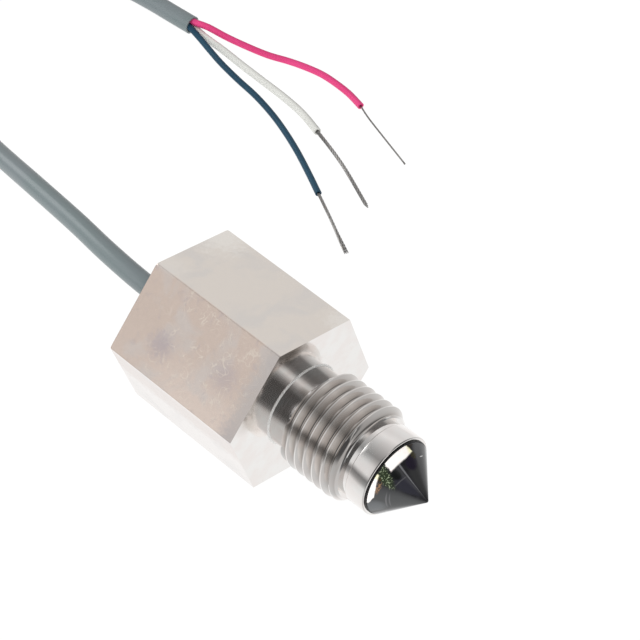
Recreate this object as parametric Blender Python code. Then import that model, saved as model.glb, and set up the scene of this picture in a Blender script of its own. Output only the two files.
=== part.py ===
"""Electro-optic level sensor: threaded steel housing, glass cone tip, electronics and a three-core lead.

Metres, +Z up. The sensor lies on one flat of its hexagon at z = 0. Its axis runs along Y and its glass tip
points to -Y. The origin is under the middle of the sensor.
"""

import math
from typing import NamedTuple

import bmesh
import bpy
from mathutils import Matrix, Vector

# Fits
SEAT_GAP = 0.0003  # between a piece and what it rests on or is fixed to
SEAL_GAP = 0.0001  # on each face of the thin seal under the cone
JOIN = 0.0002  # how far shapes of one piece reach into each other
CUT = 0.001  # how far a cutter passes the surface that it opens

# Housing, turned from hexagon bar
HEX_ACROSS_FLATS = 0.022
HEX_LENGTH = 0.0223
HEX_EDGE_BREAK = 0.00015
THREAD_DIAMETER = 0.014
THREAD_LENGTH = 0.0094
THREAD_CHAMFER = 0.0009
UNDERCUT_DEPTH = 0.00115  # below the crests of the thread
UNDERCUT_LENGTH = 0.0031
NOSE_DIAMETER = 0.0116
NOSE_LENGTH = 0.00313
NOSE_EDGE_BREAK = 0.00018
GROOVE_DEPTH = 0.00025  # below the nose
GROOVE_LENGTH = 0.0009
NOSE_WALL = 0.0013
SHANK_WALL = 0.00095  # at the undercut, where the shank is thinnest
CAVITY_DIAMETER = 0.016
SHOULDER_DEPTH = 0.011  # from the sealing face to the step between the two bores
CAVITY_START = 0.0025  # from the sealing face back to the floor of the wide cavity

# Glass tip and its seal
SEAL_THICKNESS = 0.00012
SEAL_INSET = 0.0002  # from the edge of the nose in to the seal's edge
CONE_INSET = 0.0003  # from the seal's edge in to the rim of the cone
CONE_SLOPE_DEG = 45.0
APEX_RADIUS = 0.00012
CONE_RIM = 0.00005
STEM_TO_HOLDER = 0.0017  # the space between the glass stem and the holder

# Emitter, receiver and their holder
HOLDER_LENGTH = 0.0062
SHELF_LENGTH = 0.003
LENS_DIAMETER = 0.0024
LENS_BODY_LENGTH = 0.0031
LENS_FLANGE_STEP = 0.0002
LENS_FLANGE_LENGTH = 0.0009
LENS_LEAD_WIDTH = 0.00045
LENS_LEAD_LENGTH = 0.0034
LENS_LEAD_PITCH = 0.0019
LENS_BORE_CLEARANCE = 0.0003
LIGHT_BARRIER = 0.0006  # the holder's wall between the emitter's and the receiver's pocket

# Circuit board
BOARD_THICKNESS = 0.001
TONGUE_CLEARANCE = 0.0007  # from the wall of the shank's bore to the tongue's edge
BOARD_CLEARANCE = 0.001  # from the wall of the cavity to the board's edge
BOARD_BACK = 0.014  # from the sealing face back to the board's rear edge

# Chips and two-ended components on the board, each size along x, y and z
CHIP_LEAD_WIDTH = 0.0004
CHIP_LEAD_THICKNESS = 0.00018
CHIP_STAND_OFF = 0.0001
CHIP_SPACING = 0.0006
BOARD_EDGE_MARGIN = 0.0003
END_CAP_SHARE = 0.2
END_CAP_PROUD = 0.00004


class GullWing(NamedTuple):
    """A moulded chip's body, the leads on each X side, their pitch and how far they reach."""

    body: tuple
    leads_left: int
    leads_right: int
    pitch: float
    reach: float

    @property
    def width(self):
        """Its whole width across the leads."""
        return self.body[0] + 2 * self.reach


COMPARATOR = GullWing((0.0039, 0.0049, 0.0014), 4, 4, 0.00127, 0.0009)
REGULATOR = GullWing((0.0013, 0.003, 0.0011), 3, 3, 0.00095, 0.00055)
OUTPUT_SWITCH = GullWing((0.0013, 0.0029, 0.001), 2, 1, 0.0019, 0.00055)
SUPPLY_CAPACITOR = (0.0016, 0.0032, 0.0012)
FILTER_CAPACITOR = (0.00125, 0.002, 0.0009)
BIAS_RESISTOR = (0.00125, 0.002, 0.0005)
PROTECTION_DIODE = (0.0026, 0.0043, 0.002)

# Potting and the lead's inner end
BOARD_EMBEDMENT = 0.0013  # how much of the board's rear end the resin holds
POTTING_RECESS = 0.0003
JACKET_STRIP = 0.0012  # from the board's rear edge back to the end of the jacket
CORE_REACH = 0.002
CORE_CLEARANCE = 0.00018
CORE_FAN = 0.0022

# Lead
CABLE_DIAMETER = 0.003
CORE_DIAMETER = 0.0008
WIRE_DIAMETER = 0.00095
WIRE_CIRCLE = 0.00062  # radius of the circle that the three wires leave the jacket on
STRAND_DIAMETERS = {"red": 0.0003, "white": 0.0006, "blue": 0.0005}
COIL_CENTRE = (0.0374, 0.1300)
COIL_MEAN_RADIUS = 0.0154
COIL_LAYERS = 2  # of two turns side by side
TIE_THICKNESS = 0.0004
TIE_WIDTH = 0.003
TIE_DIRECTION_DEG = 60.0

ROUND_SEGMENTS = 64
SMALL_SEGMENTS = 28
CABLE_BEVEL_RESOLUTION = 2

# Sizes across the axis, worked out from the sizes above
THREAD_RADIUS = THREAD_DIAMETER / 2
UNDERCUT_RADIUS = THREAD_RADIUS - UNDERCUT_DEPTH
NOSE_RADIUS = NOSE_DIAMETER / 2
GROOVE_RADIUS = NOSE_RADIUS - GROOVE_DEPTH
SHANK_BORE_RADIUS = UNDERCUT_RADIUS - SHANK_WALL
NOSE_BORE_RADIUS = NOSE_RADIUS - NOSE_WALL
SEAL_RADIUS = NOSE_RADIUS - SEAL_INSET
CONE_RADIUS = SEAL_RADIUS - CONE_INSET
LENS_RADIUS = LENS_DIAMETER / 2
LENS_FLANGE_RADIUS = LENS_RADIUS + LENS_FLANGE_STEP
LENS_OFFSET = LENS_FLANGE_RADIUS + LENS_BORE_CLEARANCE + LIGHT_BARRIER / 2
TONGUE_HALF_WIDTH = SHANK_BORE_RADIUS - TONGUE_CLEARANCE
BOARD_HALF_WIDTH = CAVITY_DIAMETER / 2 - BOARD_CLEARANCE
CORE_PITCH = CORE_DIAMETER + CORE_CLEARANCE
CORE_POCKET_RADIUS = CORE_FAN + CORE_DIAMETER / 2 + SEAT_GAP

# Places along the axis, worked out from the sizes above
GLASS_CONE_LENGTH = (CONE_RADIUS - APEX_RADIUS) / math.tan(math.radians(CONE_SLOPE_DEG)) + CONE_RIM
NOSE_END_DEPTH = UNDERCUT_LENGTH + THREAD_LENGTH + GROOVE_LENGTH + NOSE_LENGTH
CONE_BASE_DEPTH = NOSE_END_DEPTH + SEAL_THICKNESS + 2 * SEAL_GAP
PROTRUSION = CONE_BASE_DEPTH + GLASS_CONE_LENGTH
FACE_Y = (PROTRUSION - HEX_LENGTH) / 2
BACK_Y = FACE_Y + HEX_LENGTH
AXIS_Z = HEX_ACROSS_FLATS / 2
NOSE_END_Y = FACE_Y - NOSE_END_DEPTH
CONE_BASE_Y = FACE_Y - CONE_BASE_DEPTH
SHOULDER_Y = FACE_Y - SHOULDER_DEPTH
CAVITY_Y = FACE_Y + CAVITY_START
HOLDER_FRONT_Y = SHOULDER_Y + SEAT_GAP
HOLDER_BACK_Y = HOLDER_FRONT_Y + HOLDER_LENGTH
LENS_BACK_Y = HOLDER_BACK_Y - SEAT_GAP
BOARD_TOP_Z = AXIS_Z - LENS_LEAD_WIDTH / 2 - SEAT_GAP
BOARD_BOTTOM_Z = BOARD_TOP_Z - BOARD_THICKNESS
BOARD_FRONT_Y = HOLDER_BACK_Y + SEAT_GAP
BOARD_SHOULDER_Y = CAVITY_Y + SEAT_GAP
BOARD_BACK_Y = FACE_Y + BOARD_BACK
POTTING_FRONT_Y = BOARD_BACK_Y - BOARD_EMBEDMENT
POTTING_BACK_Y = BACK_Y - POTTING_RECESS
POCKET_BACK_Y = BOARD_BACK_Y + JACKET_STRIP
CORE_Z = BOARD_TOP_Z + SEAT_GAP + CORE_DIAMETER / 2

# The coil lies on the tie that holds it
COIL_BOTTOM_Z = TIE_THICKNESS + SEAT_GAP
COIL_HALF_WIDTH = CABLE_DIAMETER + SEAT_GAP / 2
COIL_HEIGHT = COIL_LAYERS * CABLE_DIAMETER

# The routes of the lead outside the sensor, chosen by eye along its smooth run
LEAD_ROUTE = (
    (0.0000, 0.0300, 0.0110),
    (0.0006, 0.0375, 0.0109),
    (0.0018, 0.0450, 0.0105),
    (0.0035, 0.0550, 0.0095),
    (0.0055, 0.0650, 0.0081),
    (0.0082, 0.0750, 0.0063),
    (0.0114, 0.0850, 0.0045),
    (0.0145, 0.0950, 0.0030),
    (0.0171, 0.1040, 0.0022),
    (0.0192, 0.1120, 0.0021),
    (0.0204, 0.1190, 0.0022),
)
TAIL_ROUTE = (
    (0.0541, 0.1180, 0.0036),
    (0.0549, 0.1110, 0.0022),
    (0.0568, 0.1040, 0.0016),
    (0.0590, 0.0970, 0.00153),
    (0.0600, 0.0910, 0.00152),
    (0.0604, 0.0865, 0.00152),
    (0.0608, 0.0823, 0.00152),
)
WIRE_ROUTES = {
    "red": (
        (0.0617, 0.0797, 0.0019),
        (0.0630, 0.0766, 0.0012),
        (0.0647, 0.0733, 0.0006),
        (0.0664, 0.0702, 0.00052),
        (0.0681, 0.0675, 0.0005),
        (0.0693, 0.0647, 0.0005),
        (0.0701, 0.0618, 0.0005),
        (0.0702, 0.0589, 0.0005),
        (0.0699, 0.0556, 0.0005),
        (0.0690, 0.0521, 0.0005),
    ),
    "white": (
        (0.0611, 0.0797, 0.0007),
        (0.0611, 0.0753, 0.00055),
        (0.0607, 0.0704, 0.0005),
        (0.0604, 0.0656, 0.0005),
        (0.0601, 0.0606, 0.0005),
        (0.0594, 0.0558, 0.0005),
        (0.0579, 0.0509, 0.0005),
    ),
    "blue": (
        (0.0599, 0.0797, 0.0010),
        (0.0592, 0.0765, 0.0007),
        (0.0583, 0.0728, 0.00053),
        (0.0574, 0.0682, 0.0005),
        (0.0566, 0.0632, 0.0005),
        (0.0553, 0.0583, 0.0005),
        (0.0536, 0.0537, 0.0005),
        (0.0514, 0.0488, 0.0005),
        (0.0488, 0.0438, 0.0005),
        (0.0465, 0.0396, 0.0005),
    ),
}
STRAND_ENDS = {
    "red": ((0.0680, 0.0494, 0.0003), (0.0664, 0.0447, 0.00017), (0.0639, 0.0377, 0.00017)),
    "white": ((0.0565, 0.0462, 0.00035), (0.0545, 0.0413, 0.00032), (0.0506, 0.0333, 0.00032)),
    "blue": ((0.0450, 0.0366, 0.0003), (0.0434, 0.0337, 0.00027), (0.0416, 0.0306, 0.00027),
             (0.0397, 0.0272, 0.00027)),
}
WIRE_ANGLES_DEG = {"red": 70.0, "white": 310.0, "blue": 190.0}

# Colours as linear red, green and blue, then roughness and metallic value
FINISHES = {
    "stainless_steel": ((0.66, 0.62, 0.59), 0.32, 1.0),
    "smoky_glass": ((0.06, 0.065, 0.07), 0.05, 0.0),
    "black_seal": ((0.012, 0.012, 0.013), 0.45, 0.0),
    "holder_plastic": ((0.015, 0.015, 0.016), 0.5, 0.0),
    "clear_lens": ((0.62, 0.66, 0.70), 0.1, 0.0),
    "dark_lens": ((0.03, 0.025, 0.04), 0.1, 0.0),
    "board_green": ((0.015, 0.12, 0.05), 0.4, 0.0),
    "chip_black": ((0.02, 0.02, 0.022), 0.45, 0.0),
    "capacitor_tan": ((0.42, 0.28, 0.16), 0.4, 0.0),
    "resistor_black": ((0.03, 0.03, 0.035), 0.35, 0.0),
    "potting_resin": ((0.02, 0.02, 0.022), 0.35, 0.0),
    "jacket_grey": ((0.17, 0.215, 0.225), 0.45, 0.0),
    "insulation_red": ((0.72, 0.03, 0.17), 0.4, 0.0),
    "insulation_white": ((0.80, 0.80, 0.76), 0.4, 0.0),
    "insulation_blue": ((0.012, 0.055, 0.11), 0.4, 0.0),
    "tinned_copper": ((0.45, 0.44, 0.42), 0.35, 1.0),
    "tie_black": ((0.02, 0.02, 0.02), 0.5, 0.0),
}


def clear_scene():
    """Remove every object of the opening scene."""
    for obj in list(bpy.data.objects):
        bpy.data.objects.remove(obj, do_unlink=True)


def finish(name):
    """The named material, made on its first use."""
    material = bpy.data.materials.get(name)
    if material is None:
        colour, roughness, metallic = FINISHES[name]
        material = bpy.data.materials.new(name)
        material.use_nodes = True
        shader = material.node_tree.nodes["Principled BSDF"]
        shader.inputs["Base Color"].default_value = (*colour, 1.0)
        shader.inputs["Roughness"].default_value = roughness
        shader.inputs["Metallic"].default_value = metallic
    return material


def add_object(name, mesh_builder, finish_name=None, parent=None):
    """Turn a bmesh into a named object. One without a finish is a cutter or a guide."""
    bmesh.ops.recalc_face_normals(mesh_builder, faces=mesh_builder.faces)
    mesh = bpy.data.meshes.new(name)
    mesh_builder.to_mesh(mesh)
    mesh_builder.free()
    obj = bpy.data.objects.new(name, mesh)
    bpy.context.scene.collection.objects.link(obj)
    obj.parent = parent
    if finish_name is None:
        obj.hide_render = True
        obj.display_type = "WIRE"
    else:
        mesh.materials.append(finish(finish_name))
        mesh.shade_smooth()
        mesh.set_sharp_from_angle(angle=math.radians(30))
    return obj


def spun_bmesh(profile, segments, closed=False):
    """Spin (place, radius) points about Y. An open profile starts and ends on the axis."""
    builder = bmesh.new()
    verts = [builder.verts.new((radius, place, 0.0)) for place, radius in profile]
    pairs = list(zip(verts, verts[1:] + verts[:1])) if closed else list(zip(verts, verts[1:]))
    for start, end in pairs:
        builder.edges.new((start, end))
    bmesh.ops.spin(
        builder,
        geom=builder.verts[:] + builder.edges[:],
        cent=(0, 0, 0),
        axis=(0, 1, 0),
        angle=2 * math.pi,
        steps=segments,
        use_merge=True,
    )
    bmesh.ops.remove_doubles(builder, verts=builder.verts, dist=1e-7)
    return builder


def turned(
    name, profile, finish_name=None, centre=(0.0, AXIS_Z), segments=ROUND_SEGMENTS, closed=False, parent=None
):
    """A turned piece on an axis parallel to Y through centre, given as x and z."""
    builder = spun_bmesh(profile, segments, closed)
    builder.transform(Matrix.Translation((centre[0], 0.0, centre[1])))
    return add_object(name, builder, finish_name, parent)


def extrude(builder, face, reach):
    """Make a closed prism out of one face, by the vector reach."""
    extruded = bmesh.ops.extrude_face_region(builder, geom=[face])
    moved = [item for item in extruded["geom"] if isinstance(item, bmesh.types.BMVert)]
    bmesh.ops.translate(builder, verts=moved, vec=reach)


def box_bmesh(boxes):
    """One bmesh that holds a closed box for each (lowest corner, highest corner)."""
    builder = bmesh.new()
    for low, high in boxes:
        low, high = Vector(low), Vector(high)
        size = Matrix.Diagonal((*(high - low), 1.0))
        bmesh.ops.create_cube(builder, size=1.0, matrix=Matrix.Translation((low + high) / 2) @ size)
    return builder


def box(name, low, high, finish_name=None, parent=None):
    """A plain block between two corners."""
    return add_object(name, box_bmesh([(low, high)]), finish_name, parent)


def cut(obj, cutter):
    """Take the cutter's shape out of the object."""
    modifier = obj.modifiers.new("cut_" + cutter.name, "BOOLEAN")
    modifier.operation = "DIFFERENCE"
    modifier.object = cutter


def join(obj, other):
    """Make the other's shape part of the object."""
    modifier = obj.modifiers.new("join_" + other.name, "BOOLEAN")
    modifier.operation = "UNION"
    modifier.object = other


def smooth_route(points, spacing):
    """Points about one spacing apart on a smooth curve through the given points."""
    knots = [Vector(point) for point in points]
    ends = [2 * knots[0] - knots[1]] + knots + [2 * knots[-1] - knots[-2]]
    route = []
    for before, start, stop, after in zip(ends, ends[1:], ends[2:], ends[3:]):
        steps = max(1, round((stop - start).length / spacing))
        for step in range(steps):
            t = step / steps
            route.append(
                0.5
                * (
                    2 * start
                    + (stop - before) * t
                    + (2 * before - 5 * start + 4 * stop - after) * t**2
                    + (3 * start - before - 3 * stop + after) * t**3
                )
            )
    return route + [knots[-1]]


def tube(name, points, diameter, finish_name, parent=None, spacing_in_diameters=2.5):
    """A round cord along a smooth curve through the points."""
    route = smooth_route(points, spacing_in_diameters * diameter)
    curve = bpy.data.curves.new(name, "CURVE")
    curve.dimensions = "3D"
    curve.bevel_depth = diameter / 2
    curve.bevel_resolution = CABLE_BEVEL_RESOLUTION
    curve.use_fill_caps = True
    spline = curve.splines.new("POLY")
    spline.points.add(len(route) - 1)
    for point, place in zip(spline.points, route):
        point.co = (*place, 1.0)
    curve.materials.append(finish(finish_name))
    obj = bpy.data.objects.new(name, curve)
    bpy.context.scene.collection.objects.link(obj)
    obj.parent = parent
    return obj


def hexagon_blank(parent):
    """The bar with its six flats, lying on one of them, with a small break on every edge."""
    builder = bmesh.new()
    corner_radius = HEX_ACROSS_FLATS / 2 / math.cos(math.pi / 6)
    corners_level = Matrix.Rotation(math.pi / 6, 4, "Z")
    bmesh.ops.create_circle(builder, cap_ends=True, segments=6, radius=corner_radius, matrix=corners_level)
    builder.faces.ensure_lookup_table()
    extrude(builder, builder.faces[0], (0, 0, HEX_LENGTH))
    bmesh.ops.rotate(builder, verts=builder.verts, matrix=Matrix.Rotation(-math.pi / 2, 3, "X"))
    builder.transform(Matrix.Translation((0.0, FACE_Y, AXIS_Z)))
    hexagon = add_object("housing", builder, "stainless_steel", parent)
    edge_break = hexagon.modifiers.new("edge_break", "BEVEL")
    edge_break.width = HEX_EDGE_BREAK
    edge_break.segments = 1
    edge_break.limit_method = "ANGLE"
    return hexagon


def build_housing(parent):
    """Hexagon, undercut, thread blank, groove and nose in one piece, bored right through."""
    housing = hexagon_blank(parent)
    inside_hex_y = FACE_Y + CAVITY_START / 2
    thread_start_y = FACE_Y - UNDERCUT_LENGTH
    thread_end_y = thread_start_y - THREAD_LENGTH
    groove_end_y = thread_end_y - GROOVE_LENGTH
    shank = turned(
        "shank_shape",
        [
            (inside_hex_y, 0.0),
            (inside_hex_y, UNDERCUT_RADIUS),
            (thread_start_y + UNDERCUT_DEPTH / 2, UNDERCUT_RADIUS),
            (thread_start_y, THREAD_RADIUS),
            (thread_end_y + THREAD_CHAMFER, THREAD_RADIUS),
            (thread_end_y, THREAD_RADIUS - THREAD_CHAMFER),
            (thread_end_y, GROOVE_RADIUS),
            (groove_end_y, GROOVE_RADIUS),
            (groove_end_y, NOSE_RADIUS - NOSE_EDGE_BREAK),
            (groove_end_y - NOSE_EDGE_BREAK, NOSE_RADIUS),
            (NOSE_END_Y + NOSE_EDGE_BREAK, NOSE_RADIUS),
            (NOSE_END_Y, NOSE_RADIUS - NOSE_EDGE_BREAK),
            (NOSE_END_Y, 0.0),
        ],
    )
    join(housing, shank)
    bore = turned(
        "bore_cutter",
        [
            (NOSE_END_Y - CUT, 0.0),
            (NOSE_END_Y - CUT, NOSE_BORE_RADIUS),
            (SHOULDER_Y, NOSE_BORE_RADIUS),
            (SHOULDER_Y, SHANK_BORE_RADIUS),
            (CAVITY_Y, SHANK_BORE_RADIUS),
            (CAVITY_Y, CAVITY_DIAMETER / 2),
            (BACK_Y + CUT, CAVITY_DIAMETER / 2),
            (BACK_Y + CUT, 0.0),
        ],
    )
    cut(housing, bore)


def build_tip(parent):
    """The glass cone on its stem, and the thin black seal that it is bonded on."""
    stem_radius = NOSE_BORE_RADIUS - SEAT_GAP
    stem_end_y = HOLDER_FRONT_Y - STEM_TO_HOLDER
    turned(
        "glass_tip",
        [
            (FACE_Y - PROTRUSION, 0.0),
            (FACE_Y - PROTRUSION, APEX_RADIUS),
            (CONE_BASE_Y - CONE_RIM, CONE_RADIUS),
            (CONE_BASE_Y, CONE_RADIUS),
            (CONE_BASE_Y, stem_radius),
            (stem_end_y, stem_radius),
            (stem_end_y, 0.0),
        ],
        "smoky_glass",
        parent=parent,
    )
    seal_front_y = CONE_BASE_Y + SEAL_GAP
    turned(
        "tip_seal",
        [
            (seal_front_y, NOSE_BORE_RADIUS),
            (seal_front_y, SEAL_RADIUS),
            (seal_front_y + SEAL_THICKNESS, SEAL_RADIUS),
            (seal_front_y + SEAL_THICKNESS, NOSE_BORE_RADIUS),
        ],
        "black_seal",
        closed=True,
        parent=parent,
    )


def build_holder(parent):
    """The moulding that holds emitter and receiver either side of a light barrier, and the board's shelf."""
    radius = SHANK_BORE_RADIUS - SEAT_GAP
    shelf_back_y = HOLDER_BACK_Y + SHELF_LENGTH
    holder = turned(
        "optics_holder",
        [(HOLDER_FRONT_Y, 0.0), (HOLDER_FRONT_Y, radius), (shelf_back_y, radius), (shelf_back_y, 0.0)],
        "holder_plastic",
        parent=parent,
    )
    shelf_cutter = box(
        "shelf_cutter",
        (-radius - CUT, HOLDER_BACK_Y, BOARD_BOTTOM_Z - SEAT_GAP),
        (radius + CUT, shelf_back_y + CUT, AXIS_Z + radius + CUT),
    )
    cut(holder, shelf_cutter)
    pocket_radius = LENS_RADIUS + LENS_BORE_CLEARANCE
    flange_radius = LENS_FLANGE_RADIUS + LENS_BORE_CLEARANCE
    flange_front_y = LENS_BACK_Y - LENS_FLANGE_LENGTH - SEAT_GAP
    for side, label in ((-1, "left"), (1, "right")):
        pocket = turned(
            f"{label}_pocket_cutter",
            [
                (HOLDER_FRONT_Y - CUT, 0.0),
                (HOLDER_FRONT_Y - CUT, pocket_radius),
                (flange_front_y, pocket_radius),
                (flange_front_y, flange_radius),
                (HOLDER_BACK_Y + CUT / 2, flange_radius),
                (HOLDER_BACK_Y + CUT / 2, 0.0),
            ],
            centre=(side * LENS_OFFSET, AXIS_Z),
            segments=SMALL_SEGMENTS,
        )
        cut(holder, pocket)


def build_lens(name, side, finish_name, parent):
    """A round-nosed emitter or receiver with its flange, and two leads that lie over the board."""
    flange_front_y = LENS_BACK_Y - LENS_FLANGE_LENGTH
    dome_base_y = LENS_BACK_Y - LENS_BODY_LENGTH
    dome_steps = 6
    dome = [
        (
            dome_base_y - LENS_RADIUS * math.cos(math.pi / 2 * step / dome_steps),
            LENS_RADIUS * math.sin(math.pi / 2 * step / dome_steps),
        )
        for step in range(dome_steps + 1)
    ]
    x = side * LENS_OFFSET
    lens = turned(
        name,
        dome
        + [
            (flange_front_y, LENS_RADIUS),
            (flange_front_y, LENS_FLANGE_RADIUS),
            (LENS_BACK_Y, LENS_FLANGE_RADIUS),
            (LENS_BACK_Y, 0.0),
        ],
        finish_name,
        centre=(x, AXIS_Z),
        segments=SMALL_SEGMENTS,
        parent=parent,
    )
    half = LENS_LEAD_WIDTH / 2
    leads = []
    for lead_side in (-1, 1):
        lead_x = x + lead_side * LENS_LEAD_PITCH / 2
        leads.append(
            (
                (lead_x - half, LENS_BACK_Y - JOIN, AXIS_Z - half),
                (lead_x + half, LENS_BACK_Y + LENS_LEAD_LENGTH, AXIS_Z + half),
            )
        )
    join(lens, add_object(name + "_leads", box_bmesh(leads)))


def build_board(parent):
    """The T-shaped board: a tongue in the threaded bore, a wide part in the cavity."""
    outline = [
        (-TONGUE_HALF_WIDTH, BOARD_FRONT_Y),
        (TONGUE_HALF_WIDTH, BOARD_FRONT_Y),
        (TONGUE_HALF_WIDTH, BOARD_SHOULDER_Y),
        (BOARD_HALF_WIDTH, BOARD_SHOULDER_Y),
        (BOARD_HALF_WIDTH, BOARD_BACK_Y),
        (-BOARD_HALF_WIDTH, BOARD_BACK_Y),
        (-BOARD_HALF_WIDTH, BOARD_SHOULDER_Y),
        (-TONGUE_HALF_WIDTH, BOARD_SHOULDER_Y),
    ]
    builder = bmesh.new()
    face = builder.faces.new([builder.verts.new((x, y, BOARD_BOTTOM_Z)) for x, y in outline])
    extrude(builder, face, (0, 0, BOARD_THICKNESS))
    add_object("circuit_board", builder, "board_green", parent)


def gull_wing_package(name, kind, x, front_y, parent):
    """A moulded chip with bent leads, on the board's top face, from front_y towards the back."""
    width, length, height = kind.body
    foot_z = BOARD_TOP_Z + SEAT_GAP
    low_z = foot_z + CHIP_STAND_OFF
    package = box(
        name,
        (x - width / 2, front_y, low_z),
        (x + width / 2, front_y + length, low_z + height),
        "chip_black",
        parent,
    )
    edge_break = package.modifiers.new("edge_break", "BEVEL")
    edge_break.width = height / 10
    edge_break.segments = 1
    leads = []
    for side, count in ((-1, kind.leads_left), (1, kind.leads_right)):
        for index in range(count):
            lead_y = front_y + length / 2 + (index - (count - 1) / 2) * kind.pitch
            leads.append(bent_lead(x, side, kind, lead_y, foot_z, low_z + height / 2))
    join(package, add_object(name + "_leads", merged(leads)))


def bent_lead(x, side, kind, lead_y, foot_z, mid_z):
    """One lead: out of the body, down at the knee and flat over the board."""
    inner = x + side * (kind.body[0] / 2 - JOIN)
    knee = x + side * (kind.body[0] / 2 + kind.reach / 3)
    foot = x + side * (kind.body[0] / 2 + kind.reach)
    step = side * CHIP_LEAD_THICKNESS
    outline = [
        (inner, mid_z),
        (knee + step, mid_z),
        (knee + step, foot_z + CHIP_LEAD_THICKNESS),
        (foot, foot_z + CHIP_LEAD_THICKNESS),
        (foot, foot_z),
        (knee, foot_z),
        (knee, mid_z - CHIP_LEAD_THICKNESS),
        (inner, mid_z - CHIP_LEAD_THICKNESS),
    ]
    builder = bmesh.new()
    low_y = lead_y - CHIP_LEAD_WIDTH / 2
    face = builder.faces.new([builder.verts.new((place, low_y, z)) for place, z in outline])
    extrude(builder, face, (0, CHIP_LEAD_WIDTH, 0))
    return builder


def merged(builders):
    """One bmesh that holds all the given ones, as separate closed shapes."""
    whole = bmesh.new()
    for builder in builders:
        bmesh.ops.recalc_face_normals(builder, faces=builder.faces)
        mesh = bpy.data.meshes.new("part_of_leads")
        builder.to_mesh(mesh)
        builder.free()
        whole.from_mesh(mesh)
        bpy.data.meshes.remove(mesh)
    return whole


def chip_component(name, size, x, front_y, finish_name, parent, under_board=False):
    """A two-ended resistor, capacitor or diode with slightly proud end caps, from front_y backwards."""
    width, length, height = size
    back_y = front_y + length
    cap_length = length * END_CAP_SHARE
    low_z = BOARD_BOTTOM_Z - SEAT_GAP - height if under_board else BOARD_TOP_Z + SEAT_GAP
    high_z = low_z + height
    low_x, high_x = x - width / 2, x + width / 2
    chip = box(
        name,
        (low_x + END_CAP_PROUD, front_y + cap_length / 2, low_z + END_CAP_PROUD),
        (high_x - END_CAP_PROUD, back_y - cap_length / 2, high_z - END_CAP_PROUD),
        finish_name,
        parent,
    )
    caps = [
        ((low_x, front_y, low_z), (high_x, front_y + cap_length, high_z)),
        ((low_x, back_y - cap_length, low_z), (high_x, back_y, high_z)),
    ]
    join(chip, add_object(name + "_caps", box_bmesh(caps)))


def build_electronics(parent):
    """The parts on the board: supply, comparator, output switch, protection and the two lens resistors."""
    row_y = BOARD_SHOULDER_Y + BOARD_EDGE_MARGIN
    edge_x = BOARD_HALF_WIDTH - BOARD_EDGE_MARGIN
    right_x = edge_x - REGULATOR.width / 2
    left_x = -edge_x + OUTPUT_SWITCH.width / 2
    gull_wing_package("comparator_chip", COMPARATOR, 0.0, row_y, parent)
    gull_wing_package("voltage_regulator", REGULATOR, right_x, row_y, parent)
    gull_wing_package("output_transistor", OUTPUT_SWITCH, left_x, row_y, parent)
    right_y = row_y + REGULATOR.body[1] + CHIP_SPACING
    left_y = row_y + OUTPUT_SWITCH.body[1] + CHIP_SPACING
    chip_component("supply_capacitor", SUPPLY_CAPACITOR, right_x, right_y, "capacitor_tan", parent)
    chip_component("filter_capacitor", FILTER_CAPACITOR, left_x, left_y, "capacitor_tan", parent)
    chip_component("protection_diode", PROTECTION_DIODE, 0.0, row_y, "chip_black", parent, under_board=True)
    resistor_y = LENS_BACK_Y + LENS_LEAD_LENGTH + CHIP_SPACING
    chip_component("emitter_resistor", BIAS_RESISTOR, -LENS_OFFSET, resistor_y, "resistor_black", parent)
    chip_component("receiver_resistor", BIAS_RESISTOR, LENS_OFFSET, resistor_y, "resistor_black", parent)


def build_potting(parent):
    """The cast resin plug that closes the back, with the lead's inner end and its three cores."""
    radius = CAVITY_DIAMETER / 2 - SEAT_GAP
    jacket_hole = CABLE_DIAMETER / 2 + SEAT_GAP
    potting = turned(
        "potting",
        [
            (POTTING_FRONT_Y, CORE_POCKET_RADIUS),
            (POTTING_FRONT_Y, radius),
            (POTTING_BACK_Y, radius),
            (POTTING_BACK_Y, jacket_hole),
            (POCKET_BACK_Y, jacket_hole),
            (POCKET_BACK_Y, CORE_POCKET_RADIUS),
        ],
        "potting_resin",
        closed=True,
        parent=parent,
    )
    slot = box(
        "board_slot_cutter",
        (-BOARD_HALF_WIDTH - SEAT_GAP, POTTING_FRONT_Y - CUT, BOARD_BOTTOM_Z - SEAT_GAP),
        (BOARD_HALF_WIDTH + SEAT_GAP, BOARD_BACK_Y + SEAT_GAP, BOARD_TOP_Z + SEAT_GAP),
    )
    cut(potting, slot)
    turned(
        "cable_inner_end",
        [
            (POCKET_BACK_Y, 0.0),
            (POCKET_BACK_Y, CABLE_DIAMETER / 2),
            (BACK_Y - SEAT_GAP, CABLE_DIAMETER / 2),
            (BACK_Y - SEAT_GAP, 0.0),
        ],
        "jacket_grey",
        segments=SMALL_SEGMENTS,
        parent=parent,
    )
    core_front_y = POTTING_FRONT_Y - CORE_REACH
    core_back_y = POCKET_BACK_Y - SEAT_GAP
    for label, place, colour in (("supply", -1, "red"), ("output", 0, "white"), ("ground", 1, "blue")):
        start_x, end_x = place * CORE_PITCH, place * CORE_FAN
        tube(
            label + "_core",
            [
                (end_x, core_front_y, CORE_Z),
                (end_x, core_front_y + CORE_DIAMETER, CORE_Z),
                (start_x, core_back_y - CORE_DIAMETER, CORE_Z),
                (start_x, core_back_y, CORE_Z),
            ],
            CORE_DIAMETER,
            "insulation_" + colour,
            parent,
            spacing_in_diameters=0.7,
        )


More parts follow.
